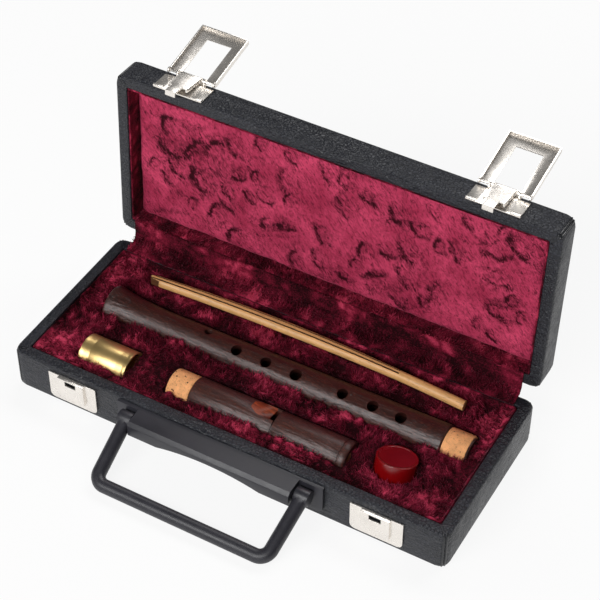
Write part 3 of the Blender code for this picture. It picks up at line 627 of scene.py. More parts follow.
def board_finish():
    make, place = new_finish("board", Roughness=0.75)
    wood = make.effect("figure", place, 160.0)
    make.paint("Base Color", make.blend(wood["Streaks"], (0.33, 0.22, 0.12), (0.52, 0.38, 0.23)))
    make.paint("Normal", make.bumped(wood["Streaks"], 0.3, 0.2 * MM))


def plush_finish(name, looks, sheen=0.22):
    """Pile that is painted dark down between the tufts and bright at its tips: painted shade in the gaps,
    painted light on the tips.
    """
    make, place = new_finish(name, Roughness=0.85, Sheen_Weight=sheen, Sheen_Roughness=0.35,
                             Sheen_Tint=sheen_tint, Specular_IOR_Level=0.1)
    fuzz = make.noise(place, 1300.0, 3.0, 0.65)
    cloud = make.effect("cloudy", place, 70.0)["Value"]
    level = make.plus(make.attribute("pile"), make.spread(fuzz, 0.3, 0.7, -0.22, 0.22))
    level = make.plus(level, make.spread(cloud, 0.0, 1.0, -0.1, 0.1))
    low = make.blend(make.spread(level, 0.05, 0.5), looks.gap_shade_colour, looks.middle_colour)
    make.paint("Base Color", make.blend(make.spread(level, 0.5, 1.0), low, looks.tip_colour))
    make.paint("Normal", make.bumped(fuzz, 0.7, 0.5 * MM))


def velvet_finish(looks):
    """Crushed velvet: the pile lies over in blotches that take the light differently, painted in as lighter
    and darker colour.
    """
    make, place = new_finish("velvet", Roughness=0.8, Sheen_Weight=0.2, Sheen_Roughness=0.3,
                             Sheen_Tint=sheen_tint, Specular_IOR_Level=0.1)
    leaning = make.add("Mapping", Vector=place, Rotation=(0.0, radians(118.0), 0.0),
                       Scale=(0.8, 0.3, 1.1)).outputs["Vector"]
    broken = make.noise(leaning, 240.0, 3.0, 0.65)
    drawn = make.stretched(leaning, (1.0, 1.0, 0.45))
    streaks = make.spread(make.noise(drawn, 75.0, 4.0, 0.62, 0.7), 0.53, 0.7)
    hairs = make.noise(make.stretched(leaning, (0.3, 1.0, 1.0)), 900.0, 3.0, 0.8, 1.2)
    # Painted shade of the crush marks, broken up by noise; it also dents the bump.
    crush_shade = make.times(make.attribute("crush_shade"), make.spread(broken, 0.25, 0.6, 0.55, 1.15))
    shade = make.plus(crush_shade, make.times(streaks, 0.5))
    shade = make.plus(shade, make.spread(hairs, 0.32, 0.68, -0.6, 0.95))
    cloud = make.effect("cloudy", place, 45.0)["Value"]
    # Painted light and shade: streaks, hairs and crush marks blend the lit velvet towards the shaded dark
    # velvet.
    light = make.blend(cloud, looks.velvet_middle, looks.velvet_light)
    make.paint("Base Color", make.blend(make.spread(shade, 0.0, 1.1), light, looks.velvet_dark))
    dents = make.bumped(crush_shade, 0.4, -0.8 * MM)
    make.paint("Normal", make.bumped(hairs, 0.9, 0.35 * MM, dents))


def metal_finish(name, colour, roughness, marks, metallic=1.0):
    """Polished metal with faint smears and hair scratches."""
    make, place = new_finish(name, Metallic=metallic)
    cloud = make.effect("cloudy", place, 90.0)["Value"]
    make.paint("Base Color", make.blend(cloud, tinted(colour, 0.92), colour))
    scratches = make.noise(make.stretched(place, (0.08, 1.0, 1.0)), 2600.0, 2.0, 0.7)
    make.paint("Roughness", make.spread(cloud, 0.0, 1.0, roughness, roughness + 0.1))
    make.paint("Normal", make.bumped(scratches, marks, 0.05 * MM))


def wood_finish(looks):
    """Oiled dark wood: fine streaks, open pores and a soft shine."""
    make, place = new_finish("dark_wood", Coat_Weight=0.24, Coat_Roughness=0.34)
    wood = make.effect("figure", place, 560.0)
    broad = make.effect("figure", place, 130.0)
    colour = looks.wood_colour
    body = make.blend(wood["Streaks"], tinted(colour, 0.25), tinted(colour, 1.8))
    body = make.blend(broad["Streaks"], body, looks.wood_warm_colour)
    flecks = make.noise(make.stretched(place, (0.35, 1.0, 1.0)), 1400.0, 2.0, 0.7)
    body = make.blend(make.spread(flecks, 0.52, 0.66), body, tinted(looks.wood_warm_colour, 2.1))
    pored = make.blend(make.times(wood["Pores"], 0.8), body, tinted(colour, 0.25))
    make.paint("Base Color", pored)
    make.paint("Roughness", make.spread(wood["Streaks"], 0.0, 1.0, 0.34, 0.46))
    pits = make.minus(wood["Streaks"], make.times(wood["Pores"], 1.4))
    make.paint("Normal", make.bumped(pits, 0.55, 0.35 * MM))


def bare_wood_finish(name, dark, light, scale, roughness=0.6, coat=0.0):
    """Wood that shows its own colour: the rod, the block and the cut face of the labium; dark copies of it
    paint the shade in holes and slits.
    """
    make, place = new_finish(name, Coat_Weight=coat, Coat_Roughness=0.3)
    wood = make.effect("figure", place, scale)
    cloud = make.effect("cloudy", place, 150.0)["Value"]
    body = make.blend(wood["Streaks"], dark, light)
    body = make.blend(make.times(cloud, 0.35), body, tinted(dark, 0.7))
    make.paint("Base Color", make.blend(make.times(wood["Pores"], 0.5), body, tinted(dark, 0.4)))
    make.paint("Roughness", make.spread(wood["Streaks"], 0.0, 1.0, roughness - 0.08, roughness + 0.08))
    make.paint("Normal", make.bumped(wood["Streaks"], 0.35, 0.12 * MM))


def cork_finish(looks):
    make, place = new_finish("cork", Roughness=0.78, Specular_IOR_Level=0.3)
    cloud = make.effect("cloudy", place, 210.0)["Value"]
    pits = make.effect("specks", place, 400.0, Size=0.24)["Value"]
    flecks = make.effect("specks", place, 1100.0, Size=0.42)["Value"]
    colour = looks.cork_colour
    body = make.blend(cloud, tinted(colour, 0.82), tinted(colour, 1.14))
    body = make.blend(make.times(flecks, 0.45), body, tinted(colour, 0.5))
    make.paint("Base Color", make.blend(pits, body, tinted(colour, 0.13)))
    height = make.minus(make.times(cloud, 0.3), make.plus(pits, flecks))
    make.paint("Normal", make.bumped(height, 0.6, 0.3 * MM))


def moulded_finish(name, colour, roughness, grain, coat=0.0):
    """Moulded plastic: a fine texture and a slightly uneven shine."""
    make, place = new_finish(name, Coat_Weight=coat, Coat_Roughness=0.12)
    cloud = make.effect("cloudy", place, 60.0)["Value"]
    fine = make.noise(place, 1500.0, 2.0, 0.6)
    make.paint("Base Color", make.blend(cloud, tinted(colour, 0.85), tinted(colour, 1.12)))
    make.paint("Roughness", make.spread(cloud, 0.0, 1.0, roughness - 0.05, roughness + 0.06))
    make.paint("Normal", make.bumped(fine, grain, 0.08 * MM))


def foam_finish():
    make, place = new_finish("foam", Roughness=0.9)
    pores = make.effect("specks", place, 900.0, Size=0.45)["Value"]
    make.paint("Base Color", make.blend(pores, (0.25, 0.22, 0.2), (0.1, 0.09, 0.08)))
    make.paint("Normal", make.bumped(pores, 0.5, 0.3 * MM))


def make_finishes(scene):
    if finishes:
        return
    effects.update(make_effects())
    case, soft, small = scene.case_looks, scene.plush_looks, scene.small_looks
    leatherette_finish(case)
    # The corner folds take the leatherette darkened to three tenths, with a glossier shine: painted shade
    # along the folds.
    moulded_finish("painted_fold_shade", tinted(case.colour, 0.3), 0.26, 0.3)
    board_finish()
    foam_finish()
    plush_finish("plush", soft)
    velvet_finish(soft)
    metal_finish("nickel", case.nickel_colour, 0.22, 0.025, 0.84)
    metal_finish("screw_steel", (0.5, 0.5, 0.52), 0.34, 0.3)
    metal_finish("brass", small.brass_colour, 0.32, 0.03, 0.9)
    moulded_finish("handle_plastic", case.handle_colour, 0.42, 0.25)
    moulded_finish("red_plastic", small.pot_colour, 0.24, 0.08, coat=0.4)
    wood_finish(small)
    bare_wood_finish("cedar", (0.42, 0.13, 0.05), (0.7, 0.3, 0.14), 420.0)
    bare_wood_finish("labium_wood", (0.05, 0.005, 0.002), (0.5, 0.08, 0.014), 380.0, 0.45, 0.08)
    bare_wood_finish("light_wood", tinted(small.rod_colour, 0.74), small.rod_colour, 520.0, 0.45, 0.15)
    # Near-black wood for the finger holes and the head's groove: painted shade.
    bare_wood_finish("painted_recess_shade", (0.012, 0.003, 0.002), (0.06, 0.011, 0.007), 500.0, 0.5)
    # Dark brown wood for the walls of the slits: painted shade.
    bare_wood_finish("painted_slit_shade", (0.06, 0.02, 0.006), (0.16, 0.06, 0.02), 520.0)
    cork_finish(small)


# Sizes and colours that a user would change

def colour_property(name, description, default):
    return bpy.props.FloatVectorProperty(name=name, description=description, default=default,
                                         subtype="COLOR", size=3, min=0.0, max=1.0)


def length_property(name, description, default):
    return bpy.props.FloatProperty(name=name, description=description, default=default, min=0.0,
                                   unit="LENGTH", subtype="DISTANCE", precision=5)


class CaseLooks(bpy.types.PropertyGroup):
    colour: colour_property("Leatherette", "Colour of the covering", (0.021, 0.0225, 0.03))
    grain_scale: bpy.props.FloatProperty(name="Grain Scale", description="Pebbles per metre",
                                         default=520.0, min=1.0)
    grain_depth: length_property("Grain Depth", "Depth of the creases between pebbles", 0.55 * MM)
    nickel_colour: colour_property("Nickel", "Colour of the latches and hinges", (0.93, 0.88, 0.82))
    handle_colour: colour_property("Handle", "Colour of the moulded handle", (0.023, 0.0225, 0.029))
    metal_edge: length_property("Metal Edge", "Rounding of pressed metal edges", 0.22 * MM)


class PlushLooks(bpy.types.PropertyGroup):
    lump_size: length_property("Tuft Size", "Distance between tufts of the pile", 7.5 * MM)
    lump_height: length_property("Tuft Height", "How far a tuft stands above the gaps round it", 3.4 * MM)
    fibre_length: length_property("Fibre Length", "Length of the loose fibres", 3.3 * MM)
    fibre_width: length_property("Fibre Width", "Width of a bundle of fibres at its root", 0.38 * MM)
    fibre_count: bpy.props.IntProperty(name="Fibres", description="Bundles of loose fibres on the bed",
                                       default=19500, min=0)
    # Tip, pile and gap colours paint light and shade into one pile: painted light at the tips, painted shade
    # in the gaps.
    tip_colour: colour_property("Tips", "Colour of the ends of the pile", (0.56, 0.05, 0.11))
    middle_colour: colour_property("Pile", "Colour of the pile half way down", (0.2, 0.009, 0.03))
    gap_shade_colour: colour_property("Gaps", "Colour deep between the tufts", (0.012, 0.0003, 0.0015))
    velvet_light: colour_property("Velvet Light", "Velvet that lies towards the light", (0.66, 0.066, 0.15))
    velvet_middle: colour_property("Velvet", "Most of the velvet", (0.36, 0.026, 0.07))
    velvet_dark: colour_property("Velvet Dark", "Velvet that lies away from the light", (0.03, 0.001, 0.005))


class SmallLooks(bpy.types.PropertyGroup):
    wood_colour: colour_property("Wood", "Colour of the oiled wood", (0.03, 0.009, 0.007))
    wood_warm_colour: colour_property("Wood Streaks", "Colour of its warmer streaks", (0.052, 0.013, 0.008))
    cork_colour: colour_property("Cork", "Colour of the tenon corks", (0.9, 0.43, 0.18))
    brass_colour: colour_property("Brass", "Colour of the joining sleeve", (0.87, 0.62, 0.26))
    rod_colour: colour_property("Rod", "Colour of the cleaning rod", (0.92, 0.5, 0.19))
    pot_colour: colour_property("Grease Pot", "Colour of the pot and its cap", (0.22, 0.0012, 0.002))


class StageLooks(bpy.types.PropertyGroup):
    front_power: bpy.props.FloatProperty(name="Front Light", description="Power of the front light",
                                         default=44.0, min=0.0, unit="POWER")
    back_power: bpy.props.FloatProperty(name="Back Light", description="Power of the back light",
                                        default=34.0, min=0.0, unit="POWER")
    sky: bpy.props.FloatProperty(name="Sky", description="Strength of the light from all round",
                                 default=0.8, min=0.0)


class MakingStep:
    """What the steps share: the noise is seeded and the finishes made, then the step's own pieces."""

    def execute(self, context):
        noise.seed_set(noise_seed)
        make_finishes(context.scene)
        self.make(context.scene)
        return {"FINISHED"}


# Leatherette

def corner_point(corner, inset, z):
    """The middle of a rounded corner of the case's outline, drawn in by an inset."""
    sx, sy = corner
    radius = max(corner_radius - inset, MM)
    back = inset + radius * (1 - sqrt(0.5))
    return Vector((sx * (base_high.x - back), sy * (base_high.y - back), z))


def corner_folds(name, rim, foot, up):
    """The two folded edges of the covering that meet at each corner and run over the rim."""
    beads = []
    for corner in ((1, 1), (-1, 1), (-1, -1), (1, -1)):
        sunk = rim - up * (seam_radius - 0.12 * MM)
        path = [corner_point(corner, rim_inside * t, sunk) for t in (1.0, 0.6, 0.25)]
        path.append(corner_point(corner, 0.12 * corner_radius, rim - up * 0.5 * MM))
        path += [corner_point(corner, seam_sink, rim + (foot - rim) * t) for t in (0.08, 0.35, 0.65, 0.9)]
        path.append(corner_point(corner, 4 * seam_sink, foot + up * 0.3 * MM))
        across = Vector((-corner[1], corner[0], 0.0)).normalized() * seam_apart / 2
        for hand in (-1, 1):
            beads.append(tube_along(name, [point + hand * across for point in path], seam_radius))
    folds = smooth(joined(name, beads), 60)
    # The folds are painted darker than the covering: painted shade.
    painted(folds, "painted_fold_shade")
    return folds


class MakeCovers(MakingStep, bpy.types.Operator):
    """Round the edges of the leatherette skins and add their corner folds"""
    bl_idname = "recorder.make_covers"
    bl_label = "Leatherette Covers"

    def make(self, scene):
        pivot = Matrix.Translation(lid_pivot)
        opened = pivot @ Matrix.Rotation(-lid_open, 4, "X") @ pivot.inverted()
        for half, body in (("base", "case_base"), ("lid", "lid")):
            cover = eased_edges(copy_of(half + "_cover", half + "_skin"), 0.35 * MM, 2, 30)
            seat(smooth(cover, 50), body, "leatherette", half + "_cover")
        folds = corner_folds("base_corner_folds", base_high.z, base_low.z, 1)
        seat(folds, "case_base", "leatherette", finish="painted_fold_shade")
        folds = corner_folds("lid_corner_folds", lid_rim, lid_rim + lid_height, -1)
        folds.data.transform(opened)
        seat(folds, "lid", "leatherette", finish="painted_fold_shade")
        for node in ("base_board", "lid_board", "lid_panel_board"):
            for slot in nodes[node].material_slots:
                slot.material = finishes["board"]


# Soft goods

def loose_things():
    """A search tree of everything that lies in the bed."""
    points = []
    faces = []
    for node in ("recorder_body", "body_cork", "recorder_head", "head_cork", "head_block",
                 "joining_sleeve", "cleaning_rod", "grease_pot", "grease_lid"):
        first = len(points)
        mesh = nodes[node].data
        points += [vert.co.copy() for vert in mesh.vertices]
        faces += [[first + index for index in face.vertices] for face in mesh.polygons]
    return BVHTree.FromPolygons(points, faces)


def distance_outside(tree, point):
    """How far a point lies outside the things in the bed; negative inside them."""
    place, normal, _, distance = tree.find_nearest(point)
    side = 1.0 if (point - place).dot(normal) >= 0 else -1.0
    return side * distance, place, normal


def tuft_height(point, size):
    """From 0 in the gaps between tufts to 1 on top of one, and the way from its middle."""
    scaled = point / size
    warped = scaled + noise.noise_vector(scaled * 1.3) * 0.6
    distances, centres = noise.voronoi(warped)
    ridge = min(1.0, (distances[1] - distances[0]) * 1.5)
    broad = clamped(0.5 + 1.3 * noise.noise(scaled * 0.55))
    curl = 0.5 + 0.5 * noise.noise(scaled * 3.2)
    return clamped(0.5 * ridge + 0.4 * broad + 0.3 * curl - 0.1), warped - centres[0]


def store_values(piece, name, values):
    attribute = piece.data.attributes.new(name, "FLOAT", "POINT")
    attribute.data.foreach_set("value", values)


def fibre_mesh(name, roots, length, width, seed):
    """Loose bundles of fibres: each a bent three-sided spike from its root."""
    draw = Random(seed)
    points = []
    faces = []
    pile = []
    for root, way, share, bright in roots:
        side = way.cross(Vector((draw.uniform(-1, 1), draw.uniform(-1, 1), 0.3))).normalized()
        other = way.cross(side).normalized()
        reach = length * share
        bend = side * draw.uniform(-0.35, 0.35) * reach
        first = len(points)
        for along, narrow, lean in ((-0.15, 1.0, 0.0), (0.55, 0.7, 0.35)):
            middle = root + way * reach * along + bend * lean
            for turn in range(3):
                angle = 2 * pi * turn / 3
                points.append(middle + (side * cos(angle) + other * sin(angle)) * width * narrow / 2)
                # Painted shade: each fibre is darker at its root and lighter towards its tip.
                pile.append((0.3 + 0.7 * max(along, 0)) * bright)
        points.append(root + way * reach + bend)
        pile.append(1.15 * bright)
        for turn in range(3):
            on = (turn + 1) % 3
            faces.append((first + turn, first + on, first + 3 + on, first + 3 + turn))
            faces.append((first + 3 + turn, first + 3 + on, first + 6))
        faces.append((first + 2, first + 1, first))
    mesh = bpy.data.meshes.new(name)
    mesh.from_pydata(points, [], faces)
    piece = bpy.data.objects.new(name, mesh)
    bpy.context.scene.collection.objects.link(piece)
    piece.data.materials.append(finishes["plush"])
    store_values(piece, "pile", pile)
    return piece


def grow_pile(name, spots, count, looks, seed, has_room):
    """Fibres on spots of (point, normal, way from the tuft's middle, painted shade level), combed in slow
    swirls.
    """
    draw = Random(seed)
    roots = []
    wanted = count // 1
    while len(roots) < wanted:
        point, normal, spread, level = draw.choice(spots)
        swirl = noise.noise_vector(point / swirl_size)
        stray = Vector((draw.uniform(-1, 1), draw.uniform(-1, 1), draw.uniform(-1, 1)))
        way = (normal * 0.5 + spread * 0.55 + swirl * 0.8 + stray * 0.33).normalized()
        share = draw.uniform(0.5, 1.1)
        # A random tone times the painted shade of the spot the fibre grows from.
        bright = draw.uniform(0.35, 1.35) * (0.2 + 1.45 * level)
        if way.dot(normal) > 0.12 and has_room(point, point + way * looks.fibre_length * share):
            roots.append((point, way, share, bright))
    return fibre_mesh(name, roots, looks.fibre_length, looks.fibre_width, seed + 1)


class MakeBed(MakingStep, bpy.types.Operator):
    """Swell the foam and its plush into one tufted bed that hugs what lies in it"""
    bl_idname = "recorder.make_bed"
    bl_label = "Plush Bed"

    def make(self, scene):
        looks = scene.plush_looks
        low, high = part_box("bed_plush")
        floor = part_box("bed_core_left")[0].z
        parts = [copy_of("bed_plush", "bed")]
        for side in SIDES:
            core = copy_of("bed_core_" + side, "core")
            parts.append(apply(core, "DISPLACE", strength=0.8 * MM, mid_level=0.0))
        bed = joined("plush_bed", parts)
        apply(bed, "REMESH", mode="VOXEL", voxel_size=bed_grid)
        apply(bed, "SMOOTH", factor=0.5, iterations=2)
        wood = loose_things()
        size = looks.lump_size
        edge = Vector((high.x - 0.2 * MM, high.y - 0.2 * MM, 0))
        mesh = bed.data
        normals = [vert.normal.copy() for vert in mesh.vertices]
        pile = []
        spots = []
        for vert, normal in zip(mesh.vertices, normals):
            point = vert.co.copy()
            height, spread = tuft_height(point, size)
            shown = clamped((point.z - tufts_from) / tufts_full_over)
            inside = min(1.0, (edge.x - abs(point.x)) / (2 * MM), (edge.y - abs(point.y)) / (2 * MM))
            free = shown * max(0.15, inside)
            lift = looks.lump_height * (height - 0.45) * free
            gap, place, away = distance_outside(wood, point)
            if gap < hug_reach and normal.z < 0.95 and point.z > dark_below:
                lift += (gap - clear_of_wood) * 0.75 * (0.6 + 0.4 * height)
            point += normal * lift
            gap, place, away = distance_outside(wood, point)
            if gap < clear_of_wood:
                point = place + away * clear_of_wood
            point.x = clamped(point.x, -edge.x, edge.x)
            point.y = clamped(point.y, -edge.y, edge.y)
            point.z = max(floor, point.z)
            vert.co = point
            # Painted shade, kept in the pile attribute: darker deep in the bed, between the tufts, near the
            # walls and beside the wood, over a wider band behind each piece and past its ends.
            depth = clamped((point.z - dark_below) / bright_over)
            shade_width = (1.3 + 4.2 * max(0.0, away.y, abs(away.x))) * MM
            lit = 0.04 + 0.96 * min(1.0, max(0.0, gap) / shade_width)
            level = (0.03 + 1.7 * height ** 1.9) * depth * (0.4 + 0.6 * max(0.0, inside)) * lit
            pile.append(level)
            if normal.z > 0.2 and point.z > fibres_from and height > 0.22:
                spots.append((point.copy(), normal, spread, level))
        store_values(bed, "pile", pile)
        seat(smooth(bed, 80), "case_base", "plush", "bed_plush", "bed_core_left",
             "bed_core_right")

        def has_room(root, tip):
            """Whether a fibre stays in the bed, under the lid's rim and clear of the wood."""
            inside = min(high.x - abs(tip.x), high.y - abs(tip.y))
            if inside < 0.3 * MM or tip.z < root.z:
                return False
            if inside < rim_shadow and tip.z > base_high.z - 0.3 * MM:
                return False
            return all(distance_outside(wood, point)[0] > 0.5 * MM for point in (tip, root.lerp(tip, 0.55)))

        fibres = grow_pile("bed_pile", spots, looks.fibre_count, looks, 7, has_room)
        seat(fibres, "case_base", "plush")


def sliced(piece, low, high, step):
    """Cut a thin piece across into short lengths along all three axes, and halve the faces again."""
    for axis in range(3):
        span = high[axis] - low[axis]
        count = int(span / step)
        cut_across(piece, axis, [low[axis] + span * number / (count + 1) for number in range(1, count + 1)])
    return apply(piece, "SUBSURF", subdivision_type="SIMPLE", levels=1, render_levels=1)


def swell(piece, glued, cap):
    """Blow a pad up a little as cloth, held where it is glued, and cap how far a point may move."""
    held = piece.vertex_groups.new(name="glued")
    held.add([vert.index for vert in piece.data.vertices if glued(vert.co)], 1.0, "REPLACE")
    before = [vert.co.copy() for vert in piece.data.vertices]
    cloth = piece.modifiers.new("Swell", "CLOTH")
    cloth.settings.use_pressure = True
    cloth.settings.uniform_pressure_force = pressure
    cloth.settings.effector_weights.gravity = 0.0
    cloth.settings.vertex_group_mass = "glued"
    for number in range(1, swell_frames + 1):
        bpy.context.scene.frame_set(number)
    take(piece)
    bpy.ops.object.modifier_apply(modifier=cloth.name)
    bpy.context.scene.frame_set(1)
    for vert, was in zip(piece.data.vertices, before):
        move = vert.co - was
        if move.length > cap:
            vert.co = was + move.normalized() * cap
    return piece


def crush_marks(low, high):
    """Places where the velvet was pressed: middle, half length, direction of the painted shadow."""
    draw = Random(19)
    marks = []
    tries = 0
    while len(marks) < mark_count and tries < 40 * mark_count:
        tries += 1
        along = draw.uniform(low.x + mark_margin, high.x - mark_margin)
        middle = Vector((along, 0.0, draw.uniform(low.z + mark_margin, high.z - mark_margin)))
        size = draw.uniform(3.6, 9.5) * MM
        if all((middle - other[0]).length > 0.85 * (size + other[1]) for other in marks):
            marks.append((middle, size, draw.uniform(2.2, 5.0), draw.uniform(0.8, 1.25)))
    return marks


def crushed_at(point, marks):
    """The painted shade of the pile at a point, and how deep it is pressed."""
    flat = Vector((point.x, 0.0, point.z))
    wander = noise.noise_vector(point / (5 * MM))
    dark = 0.0
    dent = 0.0
    for middle, size, shadow, strength in marks:
        away = flat - middle + Vector((wander.x, 0.0, wander.z)) * 0.35 * size
        if away.length > 1.7 * size:
            continue
        facing = Vector((cos(shadow), 0.0, sin(shadow)))
        along = away.dot(facing)
        across = away.dot(Vector((-facing.z, 0.0, facing.x)))
        reach = Vector((along, across * 0.72)).length / size
        side = max(0.0, along / size)
        ring = max(0.0, 1.0 - abs(reach - 0.72) / 0.42)
        dark = max(dark, strength * ring * min(1.0, 0.28 + 1.3 * side))
        dark = max(dark, 0.3 * strength * max(0.0, 1.1 - reach))
        dent = max(dent, max(0.0, 1.0 - reach))
    return dark, dent


class MakeLidLining(MakingStep, bpy.types.Operator):
    """Swell the velvet panel, press the crushed marks into it and give the wall strip its pile"""
    bl_idname = "recorder.make_lid_lining"
    bl_label = "Lid Velvet and Lining"

    def make(self, scene):
        looks = scene.plush_looks
        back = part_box("lid_panel_velvet")[1].y
        panel = copy_of("lid_panel_velvet", "velvet_panel")
        apply(panel, "REMESH", mode="VOXEL", voxel_size=panel_grid)
        swell(panel, lambda point: point.y > back - glued_depth, swell_cap)
        apply(panel, "SUBSURF", levels=1, render_levels=1)
        normals = [vert.normal.copy() for vert in panel.data.vertices]
        marks = crush_marks(*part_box("lid_panel_velvet"))
        crush_shade = []
        for vert, normal in zip(panel.data.vertices, normals):
            dark, dent = crushed_at(vert.co, marks)
            crush_shade.append(dark)
            if vert.co.y < back - 1.5 * MM:
                rough = noise.fractal(vert.co / (11 * MM), 0.9, 2.0, 4)
                vert.co += normal * (rough * 0.4 - dent * 0.6) * MM
        # The crush marks' painted shade is kept in an attribute for the velvet.
        store_values(panel, "crush_shade", crush_shade)
        seat(smooth(panel, 80), "lid", "velvet", "lid_panel_velvet")
        lining = copy_of("lid_wall_lining", "wall_lining")
        low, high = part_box("lid_wall_lining")
        eased_edges(lining, 0.25 * MM, 2)
        sliced(lining, low, high, 3.0 * MM)
        middle = (low + high) / 2
        pile = []
        spots = []
        for vert in lining.data.vertices:
            inward = Vector((middle.x - vert.co.x, 0.0, middle.z - vert.co.z))
            height, spread = tuft_height(vert.co, looks.lump_size)
            # Painted shade: the pile is darker in the gaps between the tufts.
            level = 0.05 + 1.0 * height ** 1.5
            pile.append(level)
            lower = vert.co.z < low.z + 3.0 * MM
            if lower and vert.normal.dot(inward.normalized()) > 0.25 and vert.co.y < back - 5.5 * MM:
                spots.append((vert.co.copy(), vert.normal.copy(), spread, level))
        store_values(lining, "pile", pile)
        fibres = grow_pile("lid_pile", spots, looks.fibre_count // 8, looks, 23,
                           lambda root, tip: low.y + 0.6 * MM < tip.y < back - 4.5 * MM)
        seat(fibres, "lid", "plush")
        seat(smooth(lining), "lid", "plush", "lid_wall_lining")


class MakeHingeWeb(MakingStep, bpy.types.Operator):
    """Give the strip over the hinge line its pile"""
    bl_idname = "recorder.make_hinge_web"
    bl_label = "Hinge Strip"

    def make(self, scene):
        looks = scene.plush_looks
        web = copy_of("hinge_web", "hinge_strip")
        low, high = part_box("hinge_web")
        sliced(web, low, high, 4.0 * MM)
        normals = [vert.normal.copy() for vert in web.data.vertices]
        pile = []
        spots = []
        for vert, normal in zip(web.data.vertices, normals):
            height, spread = tuft_height(vert.co, 1.5 * looks.lump_size)
            vert.co += normal * (height - 0.5) * 0.25 * MM
            # Painted shade: the pile is darker in the gaps between the tufts.
            level = 0.03 + 1.35 * height ** 1.9
            pile.append(level)
            if normal.z > 0.1 and normal.y < 0.1:
                spots.append((vert.co.copy(), normal, spread, level))
        store_values(web, "pile", pile)
        fibres = grow_pile("strip_pile", spots, looks.fibre_count // 4, looks, 41,
                           lambda root, tip: abs(tip.x) < high.x + 0.5 * MM and tip.y < high.y)
        for piece in (dressed(smooth(web, 80), "plush", "hinge_web"), dressed(fibres, "plush")):
            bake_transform(piece)


# Metal

class MakeHinges(MakingStep, bpy.types.Operator):
    """Round the hinge leaves, turn the pins and head the rivets"""
    bl_idname = "recorder.make_hinges"
    bl_label = "Hinges"

    def make(self, scene):
        edge = scene.case_looks.metal_edge
        for part, body in (("base_leaf", "case_base"), ("lid_leaf", "lid")):
            model = smooth(eased_edges(copy_of("hinge_%s_left" % part, "leaf"), edge * 0.8))
            places = [("hinge_%s_%s" % (part, side), part + "_" + side, body) for side in SIDES]
            copies_of(model, "hinge_%s_left" % part, places, "nickel")
        for part, body in (("base_rivet", "case_base"), ("lid_rivet", "lid")):
            first = "hinge_%s_left_1" % part
            model = smooth(eased_edges(copy_of(first, "rivet"), 0.12 * MM, 2, 25), 60)
            names = ["%s_%s_%d" % (part, side, number) for side in SIDES for number in (1, 2)]
            copies_of(model, first, [("hinge_" + name, name, body) for name in names], "nickel")
        for side in SIDES:
            pin_in_place("hinge_pin_" + side, "pin_" + side, "case_base")


def pin_in_place(node, name, body):
    """A turned pin with rounded ends in the place of a plain one along X."""
    low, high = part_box(node)
    radius = (high.z - low.z) / 2
    outline = [(low.x, 0.0), (low.x, radius), (high.x, radius), (high.x, 0.0)]
    pin = smooth(turned(name, rounded(outline, 0.4 * radius), line_of(node), SMALL_ROUND), 50)
    seat(pin, body, "nickel", node)


class MakeLatches(MakingStep, bpy.types.Operator):
    """Round the pressed plates, levers and hooks of both latches and turn their pins"""
    bl_idname = "recorder.make_latches"
    bl_label = "Latches"

    def make(self, scene):
        edge = scene.case_looks.metal_edge
        for part, name, body in (("catch_plate", "catch", "case_base"), ("latch_bracket", "bracket", "lid"),
                                 ("latch_lever", "lever", None), ("latch_tongue", "hook", None)):
            model = smooth(eased_edges(copy_of(part + "_left", name), edge, 3, 40))
            places = [(part + "_" + side, name + "_" + side, body or part + "_" + side) for side in SIDES]
            copies_of(model, part + "_left", places, "nickel")
        for side in SIDES:
            pin_in_place("lever_pin_" + side, "latch_pin_" + side, "lid")


# Handle

def bail_line():
    """The bail's centre line from one pivot round to the other, drawn level."""
    eye = Vector((-bail_at_pivot, 0.0))
    corner = Vector((-bail_at_bar, -bail_reach))
    arm = (corner - eye).normalized()
    turn = arm.angle(Vector((1.0, 0.0)))
    first = corner - arm * bail_corner * tan(turn / 2)
    centre = first + Vector((-arm.y, arm.x)) * bail_corner
    side = [eye.lerp(first, step / 6) for step in range(7)]
    for step in range(1, 13):
        sweep = Matrix.Rotation(turn * step / 12, 2)
        side.append(centre + sweep @ (first - centre))
    line = side + [Vector((-point.x, point.y)) for point in reversed(side)]
    return [bail_pivot + Vector((point.x, point.y, 0.0)) for point in line]


class MakeHandle(MakingStep, bpy.types.Operator):
    """Round the moulded plate, sweep the bail and head the screws"""
    bl_idname = "recorder.make_handle"
    bl_label = "Handle"

    def make(self, scene):
        plate = eased_edges(copy_of("handle_plate", "handle_mount"), 0.5 * MM, 3, 28)
        seat(smooth(plate, 45), "case_base", "handle_plastic", "handle_plate")
        bail = tube_along("handle_loop", bail_line(), bail_radius, 6)
        ends = []
        inner = bail_at_pivot - bail_radius
        for hand in (-1, 1):
            for name, near, far, radius in (("eye", inner, bail_at_pivot + bail_radius, bail_eye),
                                            ("stub", stub_inside, inner + 0.5 * MM, stub_radius)):
                ends.append(peg(name, bail_pivot + Vector((hand * near, 0, 0)),
                                bail_pivot + Vector((hand * far, 0, 0)), radius))
        weld(bail, *ends)
        droop = asin((bail_pivot.z - bail_radius - bail_off_table) / bail_reach)
        rolled(bail, (bail_pivot.y, bail_pivot.z), droop)
        eased_edges(bail, 0.4 * MM, 2, 50)
        seat(smooth(bail, 50), "handle_bail", "handle_plastic", "handle_bail")
        for side in SIDES:
            screw = smooth(eased_edges(copy_of("handle_screw_" + side, "mount_screw_" + side), 0.15 * MM), 45)
            seat(screw, "case_base", "screw_steel", "handle_screw_" + side)


# Instrument

